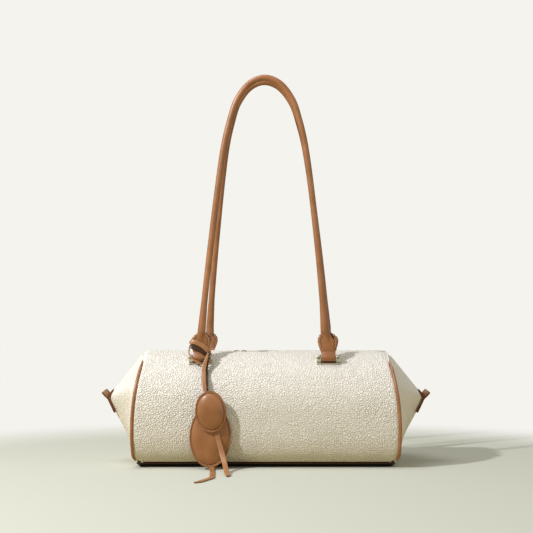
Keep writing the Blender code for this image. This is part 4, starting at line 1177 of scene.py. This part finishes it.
def leaf_width(height):
    """Half the leaf's width at a height above the bar."""
    for (w0, h0), (w1, h1) in zip(LEAF_WIDTHS, LEAF_WIDTHS[1:]):
        if height <= h1:
            return w0 + (w1 - w0) * eased(max(0.0, (height - h0) / (h1 - h0)))
    return LEAF_WIDTHS[-1][0]


def leaf_section(height):
    """The leaf's section: a flat doubled plate, the rolled cover's end dying away on both of its faces."""
    full = HANDLE_RADIUS + FOOT_SWELL * clamped((height - SHOULDER_START) / (LEAF_TOP - SHOULDER_START))
    w = max(leaf_width(height), full)
    fade = eased(clamped((height - COVER_START) / (LEAF_TOP - COVER_START)))
    flat = STRAP_THICKNESS / 2 * LEAF_PLATE_SHARE
    depth = flat + (full - flat) * fade
    across_half = min(w, full + COVER_SPREAD * (1 - fade))
    points = []
    for k in range(LEAF_PROFILE_COUNT):
        a = 2 * pi * k / LEAF_PROFILE_COUNT
        c, s = cos(a), sin(a)
        plate = (abs(c / w) ** 5 + abs(s / (STRAP_THICKNESS / 2)) ** 5) ** -0.2
        roll = 1 / hypot(c / across_half, s / depth)
        r = roll if fade >= 1 else max(plate * (1 if w > full * 1.02 else 0), roll)
        points.append((r * c, r * s))
    return points


tan_thread = plain("waxed linen thread, light tan", LIGHT_THREAD, 0.55)
stitch_shadow = plain("stitch hole and leaf gap, painted shade", HOLE_SHADE_DARK, 0.8)
for face in ("front", "back"):
    pose = bar_frame(face)
    centre = HANDLE_SHIFT[face]
    body = f"{face}_handle"
    arch = arch_line(face)
    starts = {"right": arch[0].x, "left": arch[-1].x}
    squat = LEAF_SQUAT[face]
    leaf_top = LEAF_TOP * squat
    path = [Vector((starts["right"], 0, leaf_top)), *through(arch, 8), Vector((starts["left"], 0, leaf_top))]

    def rolled(k):
        """A circle with a shallow seam on the arch's inside, a little fuller towards the leaves."""
        points = []
        full = HANDLE_RADIUS + FOOT_SWELL * max(0.0, 1 - (path[k].z - LEAF_TOP) / FOOT_SWELL_RUN)
        for n in range(PROFILE_COUNT):
            a = 2 * pi * n / PROFILE_COUNT
            off = abs((a - pi / 2 + pi) % (2 * pi) - pi)
            groove = SEAM_GROOVE * max(0.0, 1 - off / SEAM_GROOVE_HALF)
            r = full - groove
            points.append((r * cos(a), r * sin(a)))
        return points

    bm = bmesh.new()
    swept(bm, path, rolled, (0, 1, 0))
    bmesh.ops.recalc_face_normals(bm, faces=bm.faces[:])
    bmesh.ops.transform(bm, matrix=pose, verts=bm.verts[:])
    cover = piece(f"handle_{face}_cover", bm, [tan_leather], 60)
    belongs(cover, body, f"handle_{face}")

    for end, end_side in (("left", -1), ("right", 1)):
        foot = centre + HANDLE_HALF_SPREAD * end_side

        def leaf_middle(height):
            """How far along the bag the leaf's middle stands, at a height of the full leaf."""
            return foot + (starts[end] - foot) * leaf_lean(height)

        rise = leaf_top + LEAF_OVERLAP - LEAF_START
        bm = bmesh.new()
        rings = []
        for k in range(LEAF_RINGS + 1):
            height = LEAF_START + rise * k / LEAF_RINGS
            middle = leaf_middle(height / squat)
            rings.append([(middle + a, b, height) for a, b in leaf_section(max(LEAF_START, height / squat))])
        grid = joined_rows(bm, rings, closed=True)
        bm.faces.new(grid[0])
        bmesh.ops.recalc_face_normals(bm, faces=bm.faces[:])
        for f in bm.faces:
            spot = f.calc_center_median()
            off = abs(spot.x - leaf_middle(spot.z / squat)) / leaf_width(spot.z / squat)
            near_rim = off > LEAF_PAINT_SHARE and abs(f.normal.y) < 0.75
            f.material_index = 1 if near_rim and spot.z < leaf_top - LEAF_PAINT_END else 0
        bmesh.ops.transform(bm, matrix=pose, verts=bm.verts[:])
        leaf_name = f"handle_end_{face}_{end}"
        leaf = piece(leaf_name + "_leaf", bm, [tan_leather, edge_paint], 50)
        belongs(leaf, body, leaf_name)

        outer = BAR_RADIUS + GAP + STRAP_LOOP_WALL
        half = STRAP_THICKNESS / 2
        lean = atan2(LOOP_TOP, half)
        tangent = acos(outer / hypot(LOOP_TOP, half))
        start, stop = lean - tangent, pi - lean + tangent
        arc = []
        for k in range(25):
            a = start - (2 * pi - (stop - start)) * k / 24
            arc.append((outer * cos(a), outer * sin(a)))
        outline = [(-half, LOOP_TOP), (half, LOOP_TOP)] + arc
        bore = [(x * (BAR_RADIUS + GAP), z * (BAR_RADIUS + GAP)) for x, z in oval_line(1, 1)]
        loop = extruded(leaf_name + "_loop", outline, 2 * STRAP_HALF, [tan_leather, edge_paint], hole=bore)
        loop.data.transform(pose @ Matrix.Translation((foot, 0, 0)) @ Matrix.Rotation(pi / 2, 4, "Z"))
        belongs(loop, body)

        # Dark dots between the stitches are painted shade in the stitch holes.
        for row_name, inset, thread, sizes in (
            ("stitches", LEAF_STITCH_INSET, tan_thread, LEAF_STITCH),
            ("holes", LEAF_HOLE_INSET, stitch_shadow, LEAF_HOLE),
        ):
            places = []
            for flank in (-1, 1):
                line = []
                for k in range(40):
                    height = LEAF_STITCH_SPAN[0] + (LEAF_STITCH_SPAN[1] - LEAF_STITCH_SPAN[0]) * k / 39
                    x = leaf_middle(height) + flank * (leaf_width(height) - inset)
                    line.append(Vector((x, 0, height * squat)))
                for place, along in measured(line, LEAF_STITCH_PITCH):
                    for y in (-1, 1):
                        at = pose @ (place + Vector((0, y * (half + LEAF_THREAD_LIFT), 0)))
                        places.append((at, pose.to_3x3() @ along, pose.to_3x3() @ Vector((0, y, 0))))
            stitch_row(f"{leaf_name}_{row_name}", places, thread, *sizes, body, "smooth_leather")
        # Where the rolled cover opens beside the other leaf, a flat dark lens on the leaf's face is painted shade
        # for the gap.
        if (face, end) in LEAF_SHADE_SLITS:
            (x0, h0), (x1, h1), width = LEAF_SHADE_SLITS[face, end]
            near = Vector((foot + x0, -half, h0))
            far_end = Vector((foot + x1, -half, h1))
            turned = (far_end - near).to_track_quat("Z", "Y").to_matrix().to_4x4()
            size = Matrix.Diagonal((width / 2, SHADE_SLIT_DEPTH, (far_end - near).length / 2, 1))
            bm = bmesh.new()
            bmesh.ops.create_uvsphere(
                bm, u_segments=16, v_segments=12, radius=1.0,
                matrix=pose @ Matrix.Translation((near + far_end) / 2) @ turned @ size,
            )
            belongs(piece(leaf_name + "_shade_slit", bm, [stitch_shadow], 60), body)


# Lace: one flat strip of the tan leather. It goes round the left handle end on the slant and round the
# bracket's foot, and both of its strands hang from there down to the charm.
LACE_LIT_TAN = "#B07F57"
LACE_LIT_TAN_DEEP = "#95653C"
WRAP_CENTRE = 0.0122
WRAP_TILT = radians(31)
WRAP_HALF = (0.0112, 0.0046)
WRAP_SAG = 0.0026
WRAP_SHIFT = 0.0012
WRAP_SQUARENESS = 0.62
WRAP_POINTS = 72
WRAP_BAND = (0.0045, 0.0012)
RING_BAND = (0.0021, 0.0012)
RING_ROUTE = (
    (-0.0628, -0.0440, 0.1006), (-0.0712, -0.0425, 0.1046), (-0.0750, -0.0390, 0.1112),
    (-0.0738, -0.0362, 0.1176), (-0.0690, -0.0335, 0.1195), (-0.0605, -0.0335, 0.1165),
    (-0.0545, -0.0345, 0.1110), (-0.0534, -0.0385, 0.1052), (-0.0562, -0.0424, 0.1016),
)
FRONT_STRAND = (
    (-0.0560, -0.0440, 0.1112), (-0.0582, -0.0462, 0.1040), (-0.0598, -0.0484, 0.0980),
    (-0.0602, -0.0515, 0.0925), (-0.0598, -0.0575, 0.0842), (-0.0584, -0.0625, 0.0755),
)
BACK_STRAND = (
    (-0.0548, -0.0428, 0.1112), (-0.0560, -0.0444, 0.1040), (-0.0571, -0.0458, 0.0980),
    (-0.0572, -0.0488, 0.0915), (-0.0568, -0.0555, 0.0835), (-0.0564, -0.0612, 0.0760),
)
FRONT_STRAND_BAND = (0.0041, 0.0011)
BACK_STRAND_BAND = (0.0020, 0.0036)
SHADE_BAND_DROP = 0.0038
SHADE_BAND_HALF = (0.0090, 0.0034)
SHADE_BAND_SHIFT = 0.0018
SHADE_BAND_WIDER = 1.3
LACE_SHADE_DARK = "#3D2210"
STRAND_STEPS = 10
STRAND_TOP_STEPS = 2 * STRAND_STEPS


def flat_section(band):
    """The section of a flat lace, its edges slightly rounded."""
    return oval_line(band[0] / 2, band[1] / 2, 0.45, 20)


def lace(name, path, section_at, width_axis, body, node_name=None, closed=False):
    """A lace along a path, with its ends closed."""
    bm = bmesh.new()
    grid = swept(bm, path, section_at, width_axis, closed)
    if not closed:
        bm.faces.new(grid[0])
        bm.faces.new(reversed(grid[-1]))
    bmesh.ops.recalc_face_normals(bm, faces=bm.faces[:])
    made = piece(name, bm, [lit_lace_leather], 60)
    belongs(made, body, node_name)
    return made


# The lace is the same tan leather painted lighter: painted light, for the light the hanging lace catches.
lit_lace_leather = smooth_leather("tan lace leather, cut strip, dry face", LACE_LIT_TAN, LACE_LIT_TAN_DEEP, 0.4)
front_pose = bar_frame("front")
left_foot = HANDLE_SHIFT["front"] - HANDLE_HALF_SPREAD
wrap_place = Matrix.Translation((left_foot + WRAP_SHIFT, 0, WRAP_CENTRE))
wrap_turn = front_pose @ (wrap_place @ Matrix.Rotation(WRAP_TILT, 4, "Y"))
wrap_axis = wrap_turn.to_3x3() @ Vector((0, 0, 1))


def wrap_way(half, shift=0.0, drop=0.0):
    """The way of one turn of the lace round the leaf, sagging to both sides."""
    way = []
    for a, b in oval_line(*half, WRAP_SQUARENESS, WRAP_POINTS):
        sag = WRAP_SAG * (a / WRAP_HALF[0]) ** 2
        way.append(wrap_turn @ Vector((a + shift, b, -sag - drop)))
    return way


wrap_section = [(b, a) for a, b in oval_line(WRAP_BAND[1] / 2, WRAP_BAND[0] / 2, 0.6, 16)]
band_way = wrap_way(WRAP_HALF)
lace("lace_wrap_band", band_way, lambda k: wrap_section, wrap_axis, "front_handle", "lace_wrap", True)

# A dark band just under the wrap is painted shade, for the shadow between the lace and the leaf.
lace_painted_shade = plain("lace leather, painted shade", LACE_SHADE_DARK, 0.8)
shade_band_section = [(a * SHADE_BAND_WIDER, b) for a, b in wrap_section]
shade_band_way = wrap_way(SHADE_BAND_HALF, SHADE_BAND_SHIFT, SHADE_BAND_DROP)
shade_band_piece = lace(
    "lace_wrap_shade_band", shade_band_way, lambda k: shade_band_section, wrap_axis, "front_handle", closed=True
)
shade_band_piece.data.materials[0] = lace_painted_shade

ring_points = through([*RING_ROUTE, RING_ROUTE[0]], 8)[:-1]
ring_section = flat_section(RING_BAND)
lace("lace_ring_band", ring_points, lambda k: ring_section, (0, -0.5, 1), "bag", "lace_ring", True)

for strand_name, route, band in (
    ("front", FRONT_STRAND, FRONT_STRAND_BAND),
    ("back", BACK_STRAND, BACK_STRAND_BAND),
):
    strand = through(route, STRAND_STEPS)
    narrow = [(a * 0.35, b) for a, b in flat_section(band)]
    full = flat_section(band)

    def widening(k):
        """Narrow and folded where it comes out from under the wrap, flat below."""
        share = min(1.0, 0.1 + k / (1.9 * STRAND_STEPS))
        return [(a + (c - a) * share, b + (d - b) * share) for (a, b), (c, d) in zip(narrow, full)]

    upper = lace(f"lace_strand_top_{strand_name}", strand[:STRAND_TOP_STEPS + 2], widening, (1, 0, 0), "bag")
    lower = lace(
        f"lace_strand_{strand_name}", strand[STRAND_TOP_STEPS:], lambda k: full, (1, 0, 0), "charm",
        "lace_hanger" if strand_name == "front" else None,
    )
    # The back strand is coloured dark as painted shade behind the front strand.
    if strand_name == "back":
        upper.data.materials[0] = lower.data.materials[0] = lace_painted_shade


# Charm: two padded ovals of tan leather, each of two faces sewn together round a filling, the small one in
# front. The lace's two tails come out from under them, their ends cut on the slant.
SMALL_OVAL = (0.0148, 0.0200)
SMALL_OVAL_CENTRE = (-0.0529, 0.0562)
SMALL_OVAL_TILT = radians(-5.7)
SMALL_OVAL_BULGES = (0.0056, 0.0024)
LARGE_OVAL = (0.0200, 0.0300)
LARGE_OVAL_CENTRE = (-0.0535, 0.0319)
LARGE_OVAL_TILT = radians(1.9)
LARGE_OVAL_BULGES = (0.0040, 0.0021)
OVAL_RIM_HALF = 0.0012
OVAL_EDGE_ROUND = 0.0004
OVAL_STITCH_INSET = 0.0021
OVAL_STITCH_PITCH = 0.0020
OVAL_STITCH_DIP = 0.0005
OVAL_STITCH = (OVAL_STITCH_PITCH * 0.70, 0.00046)
OVAL_HOLE = (0.0010, 0.00050)
OVAL_THREAD_LIFT = 0.0001
OVAL_HOLE_LIFT = 0.00002
OVAL_TURNS = 120
OVAL_STACK = 0.0056
OVAL_GROOVE_SHADE = (0.975, 0.22)
OVAL_DIP_RUN = 2.4
OVAL_DOME = (2.1, 0.62)
TAIL_CUT_START = 0.12
TAIL_BAND = (0.0049, 0.0012)
TAIL_CUT = 0.0065
FRONT_TAIL_ROUTE = (
    (-0.0482, -0.0630, 0.0400), (-0.0474, -0.0645, 0.0360), (-0.0445, -0.0657, 0.0256),
    (-0.0409, -0.0720, 0.0135), (-0.0383, -0.0830, 0.0056), (-0.0362, -0.0985, 0.0017),
    (-0.0343, -0.1130, 0.0012),
)
FLOOR_TAIL_ROUTE = (
    (-0.0522, -0.0600, 0.0030), (-0.0517, -0.0655, 0.0012), (-0.0508, -0.0800, 0.0009),
    (-0.0499, -0.1050, 0.0009), (-0.0497, -0.1190, 0.0009), (-0.0520, -0.1275, 0.0009),
    (-0.0573, -0.1405, 0.0009), (-0.0626, -0.1540, 0.0009),
)
GROOVE_SHADE_TAN = "#84522F"
CHARM_THREAD = "#CC9C74"

charm_thread = plain("waxed linen thread, brown tan", CHARM_THREAD, 0.55)
groove_shade_tan = plain("tan calf leather, painted shade in the stitch groove", GROOVE_SHADE_TAN, 0.45)
large_middle = -(HALF_DEPTH + 2 * GAP) - LARGE_OVAL_BULGES[1]
small_middle = large_middle - OVAL_STACK
for oval_name, half, centre, tilt, y_middle, bulges in (
    ("small", SMALL_OVAL, SMALL_OVAL_CENTRE, SMALL_OVAL_TILT, small_middle, SMALL_OVAL_BULGES),
    ("large", LARGE_OVAL, LARGE_OVAL_CENTRE, LARGE_OVAL_TILT, large_middle, LARGE_OVAL_BULGES),
):
    mean = (half[0] + half[1]) / 2
    seam_share = 1 - OVAL_STITCH_INSET / mean

    def face_height(share, bulge):
        """How far a face stands from the seam's plane, at a share of the way from the middle to the rim."""
        if share > seam_share:
            past = (share - seam_share) / (1 - seam_share)
            return OVAL_RIM_HALF - OVAL_STITCH_DIP * max(0.0, 1 - past * OVAL_DIP_RUN) ** 2
        dome = (1 - (share / seam_share) ** OVAL_DOME[0]) ** OVAL_DOME[1]
        return OVAL_RIM_HALF - OVAL_STITCH_DIP + (bulge - OVAL_RIM_HALF + OVAL_STITCH_DIP) * dome

    shares = [k / 14 * seam_share for k in range(1, 13)]
    shares += [seam_share * s for s in (0.90, 0.94, 0.97, 0.99)]
    shares += [seam_share + (1 - seam_share) * s for s in (0.0, 0.12, 0.25, 0.4, 0.6, 0.8)]
    cut_start = 1 - OVAL_EDGE_ROUND / mean
    shares = [s for s in shares if s < cut_start]
    profile = [(0.0, bulges[0])] + [(s, face_height(s, bulges[0])) for s in shares]
    rim = []
    for k in range(5):
        a = pi / 2 * k / 4
        rim.append((cut_start + (1 - cut_start) * sin(a), OVAL_RIM_HALF - OVAL_EDGE_ROUND * (1 - cos(a))))
    profile += rim + [(s, -h) for s, h in reversed(rim)]
    profile += [(s, -face_height(s, bulges[1])) for s in reversed(shares)] + [(0.0, -bulges[1])]
    bm = bmesh.new()
    line = [bm.verts.new((s, 0, h)) for s, h in profile]
    edges = [bm.edges.new(pair) for pair in zip(line, line[1:])]
    bmesh.ops.spin(
        bm, geom=line + edges, cent=(0, 0, 0), axis=(0, 0, 1), angle=2 * pi, steps=OVAL_TURNS, use_merge=True
    )
    bmesh.ops.remove_doubles(bm, verts=bm.verts[:], dist=0.000001)
    bmesh.ops.recalc_face_normals(bm, faces=bm.faces[:])
    for f in bm.faces:
        spot = f.calc_center_median()
        reach = hypot(*spot.xy)
        f.material_index = 1 if reach > cut_start and abs(spot.z) < OVAL_RIM_HALF * 0.85 else 0
        # Faces along the stitch groove take a darker tan as painted shade in the groove.
        if seam_share * OVAL_GROOVE_SHADE[0] < reach < seam_share + (1 - seam_share) * OVAL_GROOVE_SHADE[1]:
            f.material_index = 2
    stand = Matrix.Translation((centre[0], y_middle, centre[1])) @ Matrix.Rotation(tilt, 4, "Y") @ QUARTER_X
    shape = stand @ Matrix.Diagonal((half[0], half[1], 1, 1))
    bmesh.ops.transform(bm, matrix=shape, verts=bm.verts[:])
    pad = piece(f"charm_{oval_name}_pad", bm, [tan_leather, edge_paint, groove_shade_tan], 50)
    belongs(pad, "charm", f"charm_{oval_name}_oval")

    seam_x_half, seam_z_half = half[0] - OVAL_STITCH_INSET, half[1] - OVAL_STITCH_INSET
    round_line = []
    for k in range(241):
        a = 2 * pi * k / 240
        round_line.append(Vector((seam_x_half * cos(a), seam_z_half * sin(a), 0)))
    low = OVAL_RIM_HALF - OVAL_STITCH_DIP
    # Dark dots between the stitches are painted shade in the stitch holes.
    for row_name, lift, past, thread, sizes in (
        ("stitches", OVAL_THREAD_LIFT, 0.0, charm_thread, OVAL_STITCH),
        ("holes", OVAL_HOLE_LIFT, OVAL_STITCH_PITCH / 2, stitch_shadow, OVAL_HOLE),
    ):
        places = []
        for place, along in measured(round_line, OVAL_STITCH_PITCH):
            for face_side in (1, -1):
                at = stand @ (place + along * past + Vector((0, 0, face_side * (low + lift))))
                places.append((at, stand.to_3x3() @ along, stand.to_3x3() @ Vector((0, 0, face_side))))
        stitch_row(f"charm_{oval_name}_{row_name}", places, thread, *sizes, "charm", "smooth_leather")

for tail_name, route in (("front", FRONT_TAIL_ROUTE), ("floor", FLOOR_TAIL_ROUTE)):
    tail = through(route, STRAND_STEPS)
    ends = [sum((b - a).length for a, b in zip(tail[k:], tail[k + 1:])) for k in range(len(tail))]
    full = flat_section(TAIL_BAND)

    def pointed(k):
        """Full width as far as the slanted cut at the tail's end."""
        share = min(1.0, TAIL_CUT_START + (1 - TAIL_CUT_START) * ends[k] / TAIL_CUT)
        return [(TAIL_BAND[0] / 2 * (share - 1) + a * share, b) for a, b in full]

    lace(f"charm_tail_{tail_name}_strip", tail, pointed, (1, 0, 0), "charm", f"charm_tail_{tail_name}")


size = {"cad": [list(cad_low), list(cad_high)], "visual": [list(corner_point) for corner_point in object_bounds()]}
